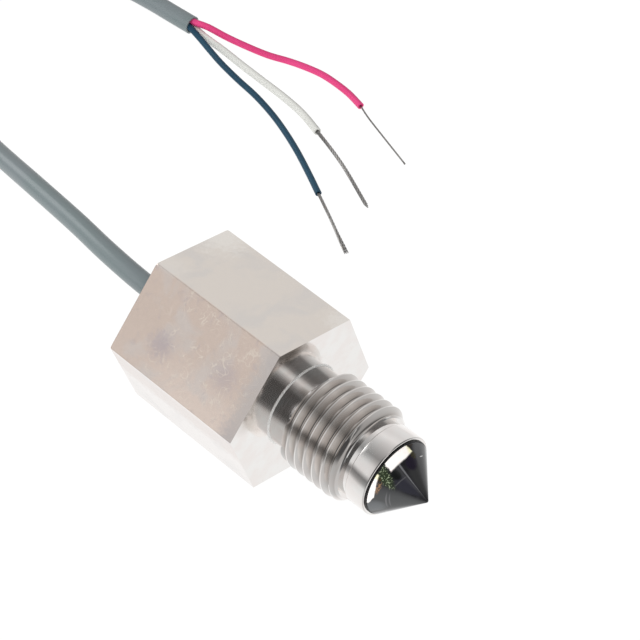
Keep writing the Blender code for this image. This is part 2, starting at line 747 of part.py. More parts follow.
def build_lead(parent):
    """The jacketed lead on the surface: its run from the sensor, the tied coil and the tail."""
    tube("cable_run", ((0.0, BACK_Y, AXIS_Z),) + LEAD_ROUTE, CABLE_DIAMETER, "jacket_grey", parent)
    tube("cable_tail", TAIL_ROUTE, CABLE_DIAMETER, "jacket_grey", parent)
    inner, outer = COIL_MEAN_RADIUS - COIL_HALF_WIDTH, COIL_MEAN_RADIUS + COIL_HALF_WIDTH
    top_z = COIL_BOTTOM_Z + COIL_HEIGHT
    rounding = CABLE_DIAMETER / 3
    section = [
        (COIL_BOTTOM_Z, inner + rounding),
        (COIL_BOTTOM_Z, outer - rounding),
        (COIL_BOTTOM_Z + rounding, outer),
        (top_z - rounding, outer),
        (top_z, outer - rounding),
        (top_z, inner + rounding),
        (top_z - rounding, inner),
        (COIL_BOTTOM_Z + rounding, inner),
    ]
    coil = spun_bmesh(section, ROUND_SEGMENTS, closed=True)
    coil.transform(Matrix.Translation((*COIL_CENTRE, 0.0)) @ Matrix.Rotation(math.pi / 2, 4, "X"))
    add_object("cable_coil", coil, "jacket_grey", parent)
    build_tie(parent)


def build_tie(parent):
    """The band that holds the coil's turns together, closed round its section."""
    clear = COIL_HALF_WIDTH + SEAT_GAP
    outer_half = clear + TIE_THICKNESS
    tie_top_z = COIL_BOTTOM_Z + COIL_HEIGHT + SEAT_GAP + TIE_THICKNESS
    half_width = TIE_WIDTH / 2
    place = (
        Matrix.Translation((*COIL_CENTRE, 0.0))
        @ Matrix.Rotation(math.radians(TIE_DIRECTION_DEG), 4, "Z")
        @ Matrix.Translation((COIL_MEAN_RADIUS, 0.0, 0.0))
    )
    builder = box_bmesh([((-outer_half, -half_width, 0.0), (outer_half, half_width, tie_top_z))])
    builder.transform(place)
    tie = add_object("coil_tie", builder, "tie_black", parent)
    # The turns curve away from the straight band, so its window is wider than they are
    bow = COIL_MEAN_RADIUS - math.sqrt(COIL_MEAN_RADIUS**2 - half_width**2)
    window = box_bmesh(
        [
            (
                (-clear - bow / 2, -half_width - CUT, TIE_THICKNESS),
                (clear, half_width + CUT, tie_top_z - TIE_THICKNESS),
            )
        ]
    )
    window.transform(place)
    cut(tie, add_object("tie_window_cutter", window))


def build_wires(parent):
    """The three stripped wires that fan out of the jacket, each with its bare twisted end."""
    jacket_end = Vector(TAIL_ROUTE[-1])
    for colour, route in WIRE_ROUTES.items():
        angle = math.radians(WIRE_ANGLES_DEG[colour])
        start = jacket_end + Vector(
            (WIRE_CIRCLE * math.cos(angle), -SEAT_GAP, WIRE_CIRCLE * math.sin(angle))
        )
        tube("wire_" + colour, (tuple(start),) + route, WIRE_DIAMETER, "insulation_" + colour, parent)
        before, end = Vector(route[-2]), Vector(route[-1])
        strand_start = end + (end - before).normalized() * SEAT_GAP
        tube(
            "strands_" + colour,
            (tuple(strand_start),) + STRAND_ENDS[colour],
            STRAND_DIAMETERS[colour],
            "tinned_copper",
            parent,
            spacing_in_diameters=4,
        )


def main():
    """Build the whole sensor under one empty."""
    clear_scene()
    sensor = bpy.data.objects.new("level_sensor", None)
    bpy.context.scene.collection.objects.link(sensor)
    build_housing(sensor)
    build_tip(sensor)
    build_holder(sensor)
    build_lens("emitter", -1, "clear_lens", sensor)
    build_lens("receiver", 1, "dark_lens", sensor)
    build_board(sensor)
    build_electronics(sensor)
    build_potting(sensor)
    build_lead(sensor)
    build_wires(sensor)


main()
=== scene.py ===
"""Looks of the level sensor: blasted and turned steel, smoky glass tip, grey lead with three stripped wires.

Metres, +Z up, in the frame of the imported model. The sensor lies along Y on one flat of its hexagon, with the
glass tip towards -Y. Patterns are written in millimetres of that same frame.
"""

import logging
import math
from dataclasses import dataclass
from enum import Enum
from typing import Any, Iterable, Sequence

import bmesh
import bpy
from mathutils import Matrix, Vector


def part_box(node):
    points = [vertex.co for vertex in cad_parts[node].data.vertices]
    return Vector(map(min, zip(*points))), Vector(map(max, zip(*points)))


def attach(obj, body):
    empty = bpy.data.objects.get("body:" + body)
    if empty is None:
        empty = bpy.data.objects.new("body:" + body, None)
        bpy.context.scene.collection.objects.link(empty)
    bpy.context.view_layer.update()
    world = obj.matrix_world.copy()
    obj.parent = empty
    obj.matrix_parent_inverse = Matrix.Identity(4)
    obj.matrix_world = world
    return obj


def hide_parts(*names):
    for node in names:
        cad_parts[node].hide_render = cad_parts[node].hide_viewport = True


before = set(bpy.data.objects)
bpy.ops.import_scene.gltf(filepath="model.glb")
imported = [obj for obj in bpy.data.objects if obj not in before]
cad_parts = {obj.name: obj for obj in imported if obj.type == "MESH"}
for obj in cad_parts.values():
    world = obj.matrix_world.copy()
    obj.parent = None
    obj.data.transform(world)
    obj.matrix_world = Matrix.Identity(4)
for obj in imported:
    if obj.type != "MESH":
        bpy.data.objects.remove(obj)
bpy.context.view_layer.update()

LOG = logging.getLogger("level_sensor")
BODY = "root"
WELD = 2e-6  # points closer than this are one point
MM = 0.001
SHARP_DEG = 32.0  # faces that meet at more than this have a sharp edge
ACROSS = 0.9999  # a normal whose y is larger than this lies along the axis
JACKET_START = (0.0, 0.01509, 0.0110)  # inside the resin
JACKET_END = (0.0608, 0.0823, 0.00152)  # where the three wires come out

Colour = tuple[float, float, float, float]
Profile = Sequence[tuple[float, float]]


def rgb(red: float, green: float, blue: float) -> Colour:
    """An opaque colour from its linear red, green and blue."""
    return (red, green, blue, 1.0)


def neutral(level: float) -> Colour:
    """A grey or white of that level."""
    return rgb(level, level, level)


def node_box(node: str) -> tuple[Vector, Vector]:
    """Lowest and highest corner of a CAD node."""
    low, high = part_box(node)
    return Vector(low), Vector(high)


# Shader graphs


class Socket:
    """A node's output, with arithmetic that adds Math nodes."""

    def __init__(self, graph: "Graph", output: bpy.types.NodeSocket) -> None:
        """Wrap one output of a graph's node."""
        self.graph = graph
        self.output = output

    def _math(self, operation: str, *values: Any) -> "Socket":
        """A Math node's result for the given values."""
        return self.graph.node("ShaderNodeMath", {"operation": operation}, dict(enumerate(values)))

    def __add__(self, other: Any) -> "Socket":
        """Sum."""
        return self._math("ADD", self, other)

    def __radd__(self, other: Any) -> "Socket":
        """Sum, with the number first."""
        return self._math("ADD", other, self)

    def __sub__(self, other: Any) -> "Socket":
        """Difference."""
        return self._math("SUBTRACT", self, other)

    def __rsub__(self, other: Any) -> "Socket":
        """Difference, with the number first."""
        return self._math("SUBTRACT", other, self)

    def __mul__(self, other: Any) -> "Socket":
        """Product."""
        return self._math("MULTIPLY", self, other)

    def __rmul__(self, other: Any) -> "Socket":
        """Product, with the number first."""
        return self._math("MULTIPLY", other, self)

    def __truediv__(self, other: Any) -> "Socket":
        """Quotient."""
        return self._math("DIVIDE", self, other)

    def __mod__(self, other: Any) -> "Socket":
        """Remainder that is never negative."""
        return self._math("FLOORED_MODULO", self, other)

    def __abs__(self) -> "Socket":
        """Size without its sign."""
        return self._math("ABSOLUTE", self)

    def highest(self, other: Any) -> "Socket":
        """The larger of two values."""
        return self._math("MAXIMUM", self, other)

    def lowest(self, other: Any) -> "Socket":
        """The smaller of two values."""
        return self._math("MINIMUM", self, other)

    def rise(self, low: float, high: float) -> "Socket":
        """A smooth step from 0 at low to 1 at high.

        Args:
            low: Value where the step starts.
            high: Value where it ends.

        Returns:
            A mask between 0 and 1.
        """
        limits = {"Value": self, "From Min": low, "From Max": high}
        return self.graph.node("ShaderNodeMapRange", {"interpolation_type": "SMOOTHSTEP"}, limits)

    def band(self, low: float, high: float, edge: float) -> "Socket":
        """A mask that is 1 between two values.

        Args:
            low: Where the band starts.
            high: Where it ends.
            edge: Width of each soft edge.

        Returns:
            A mask between 0 and 1.
        """
        half = edge / 2
        return self.rise(low - half, low + half) * (1 - self.rise(high - half, high + half))


class Graph:
    """Builds one node tree."""

    def __init__(self, tree: bpy.types.NodeTree) -> None:
        """Start with an empty tree."""
        self.tree = tree
        tree.nodes.clear()

    def node(
        self, kind: str, settings: dict[str, Any] | None = None, inputs: dict | None = None, output: Any = 0
    ) -> Socket:
        """Add a node.

        Args:
            kind: The node's type.
            settings: Its settings, set before its sockets. Stops are a ramp's (place, colour) pairs.
            inputs: A value or a Socket for each input, by name or number.
            output: Name or number of the output that is wanted.

        Returns:
            That output.
        """
        item = self.tree.nodes.new(kind)
        for name, value in (settings or {}).items():
            if name == "stops":
                self._set_stops(item.color_ramp, value)
            else:
                setattr(item, name, value)
        for name, value in (inputs or {}).items():
            if isinstance(value, Socket):
                self.tree.links.new(value.output, item.inputs[name])
            else:
                item.inputs[name].default_value = value
        return Socket(self, item.outputs[output])

    @staticmethod
    def _set_stops(ramp: bpy.types.ColorRamp, stops: Iterable[tuple[float, Colour]]) -> None:
        """Give a ramp its stops, the first two in place of those that it starts with.

        Args:
            ramp: The new ramp.
            stops: Pairs of a place and a colour.
        """
        for index, (place, colour) in enumerate(stops):
            element = ramp.elements[index] if index < 2 else ramp.elements.new(place)
            element.position = place
            element.color = colour

    def finish_with(self, kind: str, shader: Socket) -> None:
        """Join a shader to the tree's output node."""
        output = self.tree.nodes.new(kind)
        self.tree.links.new(shader.output, output.inputs["Surface"])

    def millimetres(self) -> Socket:
        """Object coordinates, in millimetres."""
        place = self.node("ShaderNodeTexCoord", output="Object")
        return self.node("ShaderNodeVectorMath", {"operation": "SCALE"}, {0: place, "Scale": 1 / MM})

    def split(self, vector: Socket) -> tuple[Socket, ...]:
        """The x, y and z of a vector."""
        parts = self.node("ShaderNodeSeparateXYZ", inputs={0: vector}).output.node.outputs
        return tuple(Socket(self, part) for part in parts)

    def distance(
        self, place: Socket, centre: Sequence[float], stretch: Sequence[float] = (1, 1, 1)
    ) -> Socket:
        """How far a place is from a centre.

        Args:
            place: Coordinates.
            centre: The centre, in the same units.
            stretch: Factors for x, y and z, to measure in an ellipsoid.

        Returns:
            The distance.
        """
        offset = self.node("ShaderNodeVectorMath", {"operation": "SUBTRACT"}, {0: place, 1: tuple(centre)})
        scaled = self.node("ShaderNodeVectorMath", {"operation": "MULTIPLY"}, {0: offset, 1: tuple(stretch)})
        return self.node("ShaderNodeVectorMath", {"operation": "LENGTH"}, {0: scaled}, output="Value")

    def noise(self, place: Socket, scale: float, detail: float = 2.0, distortion: float = 0.0) -> Socket:
        """Noise about 0.5 in three dimensions.

        Args:
            place: Coordinates.
            scale: Features per unit of those coordinates.
            detail: Octaves of finer noise.
            distortion: How much the pattern is swirled.

        Returns:
            The noise's value.
        """
        values = {"Vector": place, "Scale": scale, "Detail": detail, "Distortion": distortion}
        return self.node("ShaderNodeTexNoise", {"noise_dimensions": "3D"}, values)

    def line_noise(self, value: Socket, scale: float, detail: float = 2.0) -> Socket:
        """Noise about 0.5 that varies with one value only."""
        values = {"W": value, "Scale": scale, "Detail": detail}
        return self.node("ShaderNodeTexNoise", {"noise_dimensions": "1D"}, values)

    def mix(self, mask: Any, first: Any, second: Any) -> Socket:
        """A colour between the first, where the mask is 0, and the second, where it is 1."""
        return self.node("ShaderNodeMix", {"data_type": "RGBA"}, {0: mask, 6: first, 7: second}, output=2)

    def between(self, mask: Any, first: Any, second: Any) -> Socket:
        """A number between the first, where the mask is 0, and the second, where it is 1."""
        return self.node("ShaderNodeMix", {"data_type": "FLOAT"}, {0: mask, 2: first, 3: second}, output=0)

    def bump(self, height: Socket, depth: float, strength: float = 0.5) -> Socket:
        """A bumped normal.

        Args:
            height: Height of the relief, about 0 to 1.
            depth: What a height of 1 is, in millimetres.
            strength: Share of the effect.

        Returns:
            The normal.
        """
        values = {"Height": height, "Distance": depth * MM, "Strength": strength}
        return self.node("ShaderNodeBump", inputs=values)

    def principled(self, **sockets: Any) -> Socket:
        """A Principled shader. Names of its sockets are given with underscores for spaces."""
        named = {name.replace("_", " "): value for name, value in sockets.items()}
        return self.node("ShaderNodeBsdfPrincipled", inputs=named)


# Finishes


@dataclass(frozen=True)
class Finish:
    """A surface finish, whose material is made on its first use."""

    name: str

    def material(self) -> bpy.types.Material:
        """The finish's material.

        Returns:
            The material, which all pieces of this finish share.
        """
        material = bpy.data.materials.get(self.name)
        if material is None:
            material = bpy.data.materials.new(self.name)
            material.use_nodes = True
            graph = Graph(material.node_tree)
            graph.finish_with("ShaderNodeOutputMaterial", self.paint(graph))
        return material

    def paint(self, graph: Graph) -> Socket:
        """Build the shader.

        Args:
            graph: The material's graph.

        Returns:
            The shader's output.
        """
        raise NotImplementedError


@dataclass(frozen=True)
class SoftPatch:
    """A soft round patch on the steel, used for real tints and for painted light and shade: its centre and
    radius in millimetres, and how much it tints.
    """

    centre: tuple[float, float, float]
    radius: float
    depth: float

    def cover(self, graph: Graph, place: Socket, core: float, fray: Any = 0.0) -> Socket:
        """How much the patch tints a place.

        Args:
            graph: The material's graph.
            place: Object coordinates in millimetres.
            core: Share of the radius inside which the patch is full.
            fray: Noise about 0 that frays its edge.

        Returns:
            A mask between 0 and the patch's depth.
        """
        reach = graph.distance(place, self.centre) + fray * self.radius
        return (1 - reach.rise(core * self.radius, self.radius)) * self.depth


@dataclass(frozen=True)
class BlastedSteel(Finish):
    """Matt blasted stainless steel. Each flat has its own warm tone, partly painted light and shade; stains,
    painted sheen and shade, fine pale curls.
    """

    # Tones of the flats, partly painted light and shade
    top: Colour = rgb(0.90, 0.83, 0.765)
    left: Colour = rgb(0.80, 0.665, 0.585)
    left_low_lit: Colour = rgb(0.935, 0.795, 0.71)
    under: Colour = rgb(0.83, 0.76, 0.725)
    rest: Colour = rgb(0.92, 0.88, 0.855)
    cool: Colour = rgb(0.78, 0.755, 0.745)
    purple: Colour = rgb(0.60, 0.525, 0.55)
    pale: Colour = rgb(0.97, 0.88, 0.77)
    grey: Colour = rgb(0.64, 0.60, 0.585)
    # Colour of the painted sheen on the top flat
    bright: Colour = rgb(1.0, 0.955, 0.90)
    apothem: float = 11.0
    left_deg: float = 150.0
    cloud_depth: float = 0.42
    speck_depth: float = 0.4
    front_shade_depth: float = 0.75
    curl_depth: float = 0.5
    smoothest: float = 0.18
    roughest: float = 0.23
    relief: float = 0.006
    # Painted sheen: lighter patches on the top flat
    painted_sheens: tuple[SoftPatch, ...] = (
        SoftPatch((5.0, 22.0, 22.0), 6.0, 0.85),
        SoftPatch((5.5, -0.1, 22.0), 3.6, 0.7),
        SoftPatch((-6.0, 21.0, 22.0), 4.0, 0.3),
    )
    stains_and_shade: tuple[SoftPatch, ...] = (
        SoftPatch((-10.46, 15.74, 14.87), 2.9, 0.7),
        SoftPatch((-9.53, 5.29, 16.49), 3.0, 0.5),
        SoftPatch((-12.29, 0.77, 11.72), 2.4, 0.4),
    )

    def paint(self, graph: Graph) -> Socket:
        """Build the shader.

        Args:
            graph: The material's graph.

        Returns:
            The shader's output.
        """
        place = graph.millimetres()
        x, y, z = graph.split(place)
        turned = math.radians(self.left_deg)
        to_left = x * math.cos(turned) + (z - self.apothem) * math.sin(turned)
        on_left = self._on_flat(to_left, self.apothem)
        on_top = self._on_flat(z, 2 * self.apothem)
        mottle = graph.noise(place, 1.7, 4.0)
        fray = mottle - 0.5
        # Painted light and shade: each flat's own tone, the left flat lighter towards its lower edge and the
        # front, and a darker strip just under the left flat
        lower_left_lit = (self.apothem + 1.0 - z).rise(-5.5, 1.5) * (1 - y.rise(9.0, 19.0) * 0.7)
        colour = graph.mix(on_top, self.rest, self.top)
        colour = graph.mix(on_left, colour, graph.mix(lower_left_lit, self.left, self.left_low_lit))
        # Painted shade: a darker strip on the flat just under the left flat
        under_shade = (z + fray * 3.0).band(6.5, 10.8, 2.5) * (1 - x.rise(-6.0, -3.0))
        colour = graph.mix(under_shade * (1 - on_left), colour, self.under)
        # Cool clouds everywhere, and purple specks on the left flat
        clouds = graph.noise(place, 0.21, 3.0, 0.5).rise(0.45, 0.68)
        colour = graph.mix(clouds * self.cloud_depth, colour, self.cool)
        specks = graph.noise(place, 0.8, 4.0, 0.4).rise(0.55, 0.8)
        colour = graph.mix(specks * on_left * self.speck_depth, colour, self.purple)
        # Painted sheen on the top flat
        for sheen in self.painted_sheens:
            colour = graph.mix(sheen.cover(graph, place, 0.2, fray) * on_top, colour, self.bright)
        for spot in self.stains_and_shade:
            colour = graph.mix(spot.cover(graph, place, 0.1, fray), colour, self.purple)
        # Painted shade: the left flat darker towards the sealing face
        front_shade = on_left * (1 - (y + fray * 3.0).rise(0.2, 3.2))
        colour = graph.mix(front_shade * self.front_shade_depth, colour, self.grey)
        # Pale curls like worms, where the left flat is worn
        curls = 1 - abs(graph.noise(place, 0.62, 0.0, 1.1) - 0.5).rise(0.004, 0.034)
        worn = graph.noise(place, 0.5, 2.0).rise(0.40, 0.56) * y.band(1.5, 17.0, 4.0)
        colour = graph.mix(curls * worn * on_left * self.curl_depth, colour, self.pale)
        grain = graph.noise(place, 5.0, 3.0) * 0.6 + mottle * 0.4
        return graph.principled(
            Base_Color=colour,
            Metallic=1.0,
            Roughness=graph.between(mottle.rise(0.3, 0.7), self.smoothest, self.roughest),
            Normal=graph.bump(grain, self.relief),
        )

    @staticmethod
    def _on_flat(reach: Socket, distance: float) -> Socket:
        """A mask of what reaches as far as a flat, but for the broken edges beside it."""
        return reach.rise(distance - 0.25, distance - 0.05)


@dataclass(frozen=True)
class TurnedSteel(Finish):
    """Bright turned stainless steel with fine marks round the axis. Its thread and sealing face carry painted
    shade, and its fillet a painted highlight.
    """

    axis_height: float = 11.0
    colour: Colour = rgb(0.935, 0.92, 0.90)
    warm: Colour = rgb(0.92, 0.875, 0.85)
    root: Colour = rgb(0.56, 0.52, 0.49)
    thread_top_shade: Colour = rgb(0.60, 0.565, 0.535)
    painted_shade: Colour = rgb(0.42, 0.37, 0.33)
    painted_highlight: Colour = rgb(0.95, 0.94, 0.92)
    thread_end: float = -12.3
    thread_top_shade_depth: float = 0.5
    oil_and_shade_depth: float = 0.8
    roughness: float = 0.075
    spread: float = 0.05
    relief: float = 0.002
    # Darker patches on the sealing face: painted reflection and shade
    stains_and_shade: tuple[SoftPatch, ...] = (
        SoftPatch((-4.2, 0.0, 21.3), 2.6, 0.75),
        SoftPatch((-10.2, 0.0, 13.4), 2.8, 0.3),
    )

    def paint(self, graph: Graph) -> Socket:
        """Build the shader.

        Args:
            graph: The material's graph.

        Returns:
            The shader's output.
        """
        place = graph.millimetres()
        x, along, z = graph.split(place)
        from_axis = graph.distance(place, (0.0, 0.0, self.axis_height), (1.0, 0.0, 1.0))
        # The cutter's path runs along the axis on cylinders and outwards on faces
        path = along + from_axis
        tint = graph.noise(place, 0.4, 2.0)
        colour = graph.mix(tint.rise(0.35, 0.65), self.colour, self.warm)
        # Painted shade: the thread darker on its upper side
        upper = (z - self.axis_height - x * 0.09).rise(-1.5, 3.0)
        threaded = along.band(self.thread_end, -3.4, 0.3) * from_axis.rise(5.9, 6.1)
        colour = graph.mix(threaded * upper * self.thread_top_shade_depth, colour, self.thread_top_shade)
        # Oil and painted shade in the thread's roots
        in_thread = along.band(self.thread_end, -3.2, 0.1)
        oil_and_shade = in_thread * (1 - from_axis.rise(6.0, 6.95)) * from_axis.rise(5.55, 5.9)
        colour = graph.mix(oil_and_shade * self.oil_and_shade_depth, colour, self.root)
        # Painted reflection and shade: the sealing face darker towards its upper left corner and at its left
        for spot in self.stains_and_shade:
            colour = graph.mix(spot.cover(graph, place, 0.2), colour, self.painted_shade)
        # Painted highlight: the fillet that the cutter's corner leaves is pale and half diffuse, so it shows
        # light all the way round
        corner = along.band(-0.28, -0.08, 0.04) * (1 - from_axis.rise(6.05, 6.15))
        colour = graph.mix(corner, colour, self.painted_highlight)
        streaks = graph.line_noise(path, 3.0).rise(0.3, 0.7)
        roughness = graph.between(streaks, self.roughness, self.roughness + self.spread)
        return graph.principled(
            Base_Color=colour,
            Metallic=1 - corner * 0.5,
            Roughness=roughness + corner * 0.25,
            Normal=graph.bump(graph.line_noise(path, 9.0, 3.0), self.relief, 0.6),
        )


@dataclass(frozen=True)
class Mark:
    """An oval mark on the glass cone.

    Angles are in degrees round the axis, and depths in millimetres from the rim. The slant is how many
    degrees the mark leans for each millimetre, and the lean how many millimetres it drops for each degree.
    """

    angle: float
    depth: float
    half_angle: float
    half_depth: float
    colour: Colour
    soft: float = 0.6
    slant: float = 0.0
    lean: float = 0.0

    def cover(self, angle: Socket, depth: Socket) -> Socket:
        """How much of the mark covers a place.

        Args:
            angle: The place's angle.
            depth: Its depth.

        Returns:
            A mask between 0 and 1.
        """
        turn = angle - self.angle
        drop = depth - self.depth
        across = (turn - drop * self.slant) / self.half_angle
        along = (drop - turn * self.lean) / self.half_depth
        return 1 - (across * across + along * along).rise(1 - self.soft, 1 + self.soft)


@dataclass(frozen=True)
class SmokyGlass(Finish):
    """Dark glossy glass, with what shows through it painted on: the bright bore as a glowing painted
    reflection, a board's edge, and inner facets as painted reflections.

    Angles run round the axis from +X towards +Z, in degrees. Depths run from the rim to the apex, in mm.
    """

    rim: float = -17.01
    axis_height: float = 11.0
    first_angle: float = 40.0
    dark: Colour = rgb(0.012, 0.012, 0.014)
    smoke: Colour = rgb(0.028, 0.028, 0.032)
    grains: Colour = rgb(0.42, 0.50, 0.32)
    metal: Colour = rgb(0.93, 0.895, 0.86)
    yellow: Colour = rgb(0.86, 0.84, 0.56)
    pink: Colour = rgb(0.90, 0.74, 0.72)
    board: Mark = Mark(144.5, 0.75, 9.5, 1.05, rgb(0.028, 0.040, 0.020), 0.9, slant=8.0)
    painted_glow_level: float = 0.32
    roughness: float = 0.04
    # Painted reflections inside the glass: lighter and darker zones, facet lines and a glint
    inner: tuple[Mark, ...] = (
        Mark(190.0, 2.2, 28.0, 3.0, rgb(0.072, 0.074, 0.076), 1.0),
        Mark(205.0, 0.5, 14.0, 1.0, rgb(0.14, 0.148, 0.155), 1.0),
        Mark(92.0, 3.0, 17.0, 1.6, rgb(0.036, 0.036, 0.037), 0.8),
        Mark(136.0, 2.9, 18.0, 1.3, rgb(0.030, 0.030, 0.040), 0.6),
        Mark(62.0, 0.7, 14.0, 1.3, rgb(0.115, 0.115, 0.12), 1.0),
        Mark(58.0, 2.4, 17.0, 2.0, rgb(0.072, 0.072, 0.076), 1.0),
        Mark(90.0, 1.5, 14.0, 0.65, rgb(0.012, 0.008, 0.020)),
        Mark(130.0, 1.4, 9.0, 0.5, rgb(0.007, 0.008, 0.008)),
        # A painted glint
        Mark(58.0, 1.2, 6.0, 0.05, rgb(0.75, 0.75, 0.75), 0.5, lean=0.01),
        Mark(114.4, 1.4, 1.7, 3.0, rgb(0.17, 0.17, 0.18), 0.8, slant=0.5),
        Mark(136.0, 2.02, 19.0, 0.06, rgb(0.08, 0.08, 0.085), 0.8, lean=-0.009),
        Mark(190.0, 1.59, 19.0, 0.07, rgb(0.145, 0.145, 0.15), 0.9, lean=0.005),
        Mark(189.0, 1.89, 18.0, 0.06, rgb(0.13, 0.13, 0.135), 0.9, lean=0.006),
    )
    outer: tuple[Mark, ...] = (
        Mark(164.0, 0.60, 10.0, 0.19, rgb(0.30, 0.17, 0.09), 0.8),
        Mark(151.5, 0.42, 3.0, 0.13, rgb(0.06, 0.035, 0.012), 0.5),
        Mark(80.0, 0.98, 6.0, 0.28, rgb(0.040, 0.032, 0.006), 0.7),
        Mark(82.0, 0.08, 5.5, 0.20, rgb(0.030, 0.018, 0.012), 0.5),
    )

    def paint(self, graph: Graph) -> Socket:
        """Build the shader.

        Args:
            graph: The material's graph.

        Returns:
            The shader's output.
        """
        place = graph.millimetres()
        x, y, z = graph.split(place)
        turn = graph.node("ShaderNodeMath", {"operation": "ARCTAN2"}, {0: z - self.axis_height, 1: x})
        # The inside of the tip looks the same from both sides
        angle = (turn * math.degrees(1.0) - self.first_angle) % 180.0 + self.first_angle
        depth = self.rim - y
        jag = graph.noise(place, 2.2, 3.0) - 0.5
        rough_angle = angle + jag * 9.0
        rough_depth = depth + jag * 0.22

        shade = graph.noise(place, 0.6, 2.0).rise(0.35, 0.7)
        shown = graph.mix(shade, self.dark, self.smoke)
        # Painted reflections inside the glass
        for mark in self.inner:
            shown = graph.mix(mark.cover(angle, depth), shown, mark.colour)

        grains = graph.noise(place, 5.0, 3.0).rise(0.54, 0.64)
        speckle = graph.mix(grains, self.board.colour, self.grains)
        shown = graph.mix(self.board.cover(rough_angle, rough_depth), shown, speckle)

        # Painted reflection of the bore's end, in two crescents
        upper, lower = self._crescents(angle, depth, jag)
        window = upper.highest(lower)
        yellow = (1 - angle.rise(84.0, 92.0)).highest(angle.band(140.0, 152.0, 5.0))
        bright = graph.mix(yellow, self.metal, self.yellow)
        flush = graph.noise(place, 3.0, 2.0).rise(0.52, 0.66)
        bright = graph.mix(flush * 0.6, bright, self.pink)
        shown = graph.mix(window, shown, bright)
        hidden = 0.0
        flecks = graph.noise(place, 5.5, 2.0).rise(0.40, 0.52)
        for mark in self.outer:
            cover = mark.cover(rough_angle, rough_depth) * flecks
            shown = graph.mix(cover, shown, mark.colour)
            hidden = cover + hidden
        # Painted glow: the crescents also give light, though they are no lamp
        lit = window * (1 - hidden.lowest(1.0)) * self.painted_glow_level
        return graph.principled(
            Base_Color=shown,
            Roughness=self.roughness,
            IOR=1.52,
            Emission_Color=graph.mix(lit, rgb(0.0, 0.0, 0.0), bright),
            Emission_Strength=1.0,
        )

    @staticmethod
    def _crescents(angle: Socket, depth: Socket, jag: Socket) -> tuple[Socket, Socket]:
        """The two bright stretches where the bore's end shows through the rim: painted reflections.

        Args:
            angle: Degrees round the axis.
            depth: Millimetres from the rim.
            jag: Noise about 0 that frays their edges.

        Returns:
            A mask for the upper one and a mask for the lower one.
        """
        right_drop = (97.0 - angle).highest(0.0) * 0.0153
        left_drop = (angle - 113.0).highest(0.0) * 0.003
        upper = (0.87 - right_drop - left_drop - depth + jag * 0.06).rise(-0.1, 0.1)
        upper = upper * (angle + depth * 11.0 - 87.0 + jag * 5.0).rise(-1.5, 1.5)
        upper = upper * (129.0 + depth * 3.5 - angle + jag * 7.0).rise(-1.5, 1.5)
        inner_edge = ((angle - 146.0) * 0.0135 + 0.12).lowest(0.44).lowest(0.44 - (angle - 183.0) * 0.032)
        lower = (inner_edge - depth + jag * 0.22).rise(-0.08, 0.08)
        return upper, lower * angle.band(145.5, 194.0, 3.0)


@dataclass(frozen=True)
class Moulded(Finish):
    """Plastic, rubber or resin with a slow change of tint and a fine grain."""

    colour: Colour
    other: Colour
    roughness: float = 0.4
    grain: float = 3.0
    relief: float = 0.01
    patch: float = 0.15
    gloss: float = 0.5
    spread: float = 0.06

    def paint(self, graph: Graph) -> Socket:
        """Build the shader.

        Args:
            graph: The material's graph.

        Returns:
            The shader's output.
        """
        place = graph.millimetres()
        patch = graph.noise(place, self.patch, 3.0)
        fine = graph.noise(place, self.grain, 3.0)
        return graph.principled(
            Base_Color=graph.mix(patch.rise(0.35, 0.65), self.colour, self.other),
            Roughness=graph.between(fine, self.roughness - self.spread, self.roughness + self.spread),
            Specular_IOR_Level=self.gloss,
            Normal=graph.bump(fine, self.relief),
        )


@dataclass(frozen=True)
class TinnedWire(Finish):
    """Dull tinned copper, with copper showing a little between the marks."""

    tin: Colour = rgb(0.37, 0.36, 0.35)
    copper: Colour = rgb(0.40, 0.33, 0.27)
    roughness: float = 0.34
    spread: float = 0.08
    relief: float = 0.004

    def paint(self, graph: Graph) -> Socket:
        """Build the shader.

        Args:
            graph: The material's graph.

        Returns:
            The shader's output.
        """
        place = graph.millimetres()
        wear = graph.noise(place, 1.3, 3.0)
        fine = graph.noise(place, 9.0, 2.0)
        colour = graph.mix(wear.rise(0.55, 0.75) * 0.5, self.tin, self.copper)
        return graph.principled(
            Base_Color=colour,
            Metallic=1.0,
            Roughness=graph.between(fine, self.roughness - self.spread, self.roughness + self.spread),
            Normal=graph.bump(fine, self.relief),
        )


@dataclass(frozen=True)
class WovenStrap(Finish):
    """Black webbing, woven in small cells."""

    thread: float = 0.45
    low: Colour = rgb(0.012, 0.012, 0.013)
    high: Colour = rgb(0.035, 0.035, 0.037)
    roughness: float = 0.65
    relief: float = 0.05

    def paint(self, graph: Graph) -> Socket:
        """Build the shader.

        Args:
            graph: The material's graph.

        Returns:
            The shader's output.
        """
        place = graph.millimetres()
        x, y, z = graph.split(place)
        turns = math.tau / self.thread
        warp = graph.node("ShaderNodeMath", {"operation": "SINE"}, {0: (x + z) * turns})
        weft = graph.node("ShaderNodeMath", {"operation": "SINE"}, {0: (y - z) * turns})
        weave = warp * weft * 0.5 + 0.5
        colour = graph.mix(weave, self.low, self.high)
        normal = graph.bump(weave, self.relief, 0.7)
        return graph.principled(Base_Color=colour, Roughness=self.roughness, Normal=normal)


class Axis(Enum):
    """An axis that a component's metal ends lie on."""

    X = 0
    Y = 1


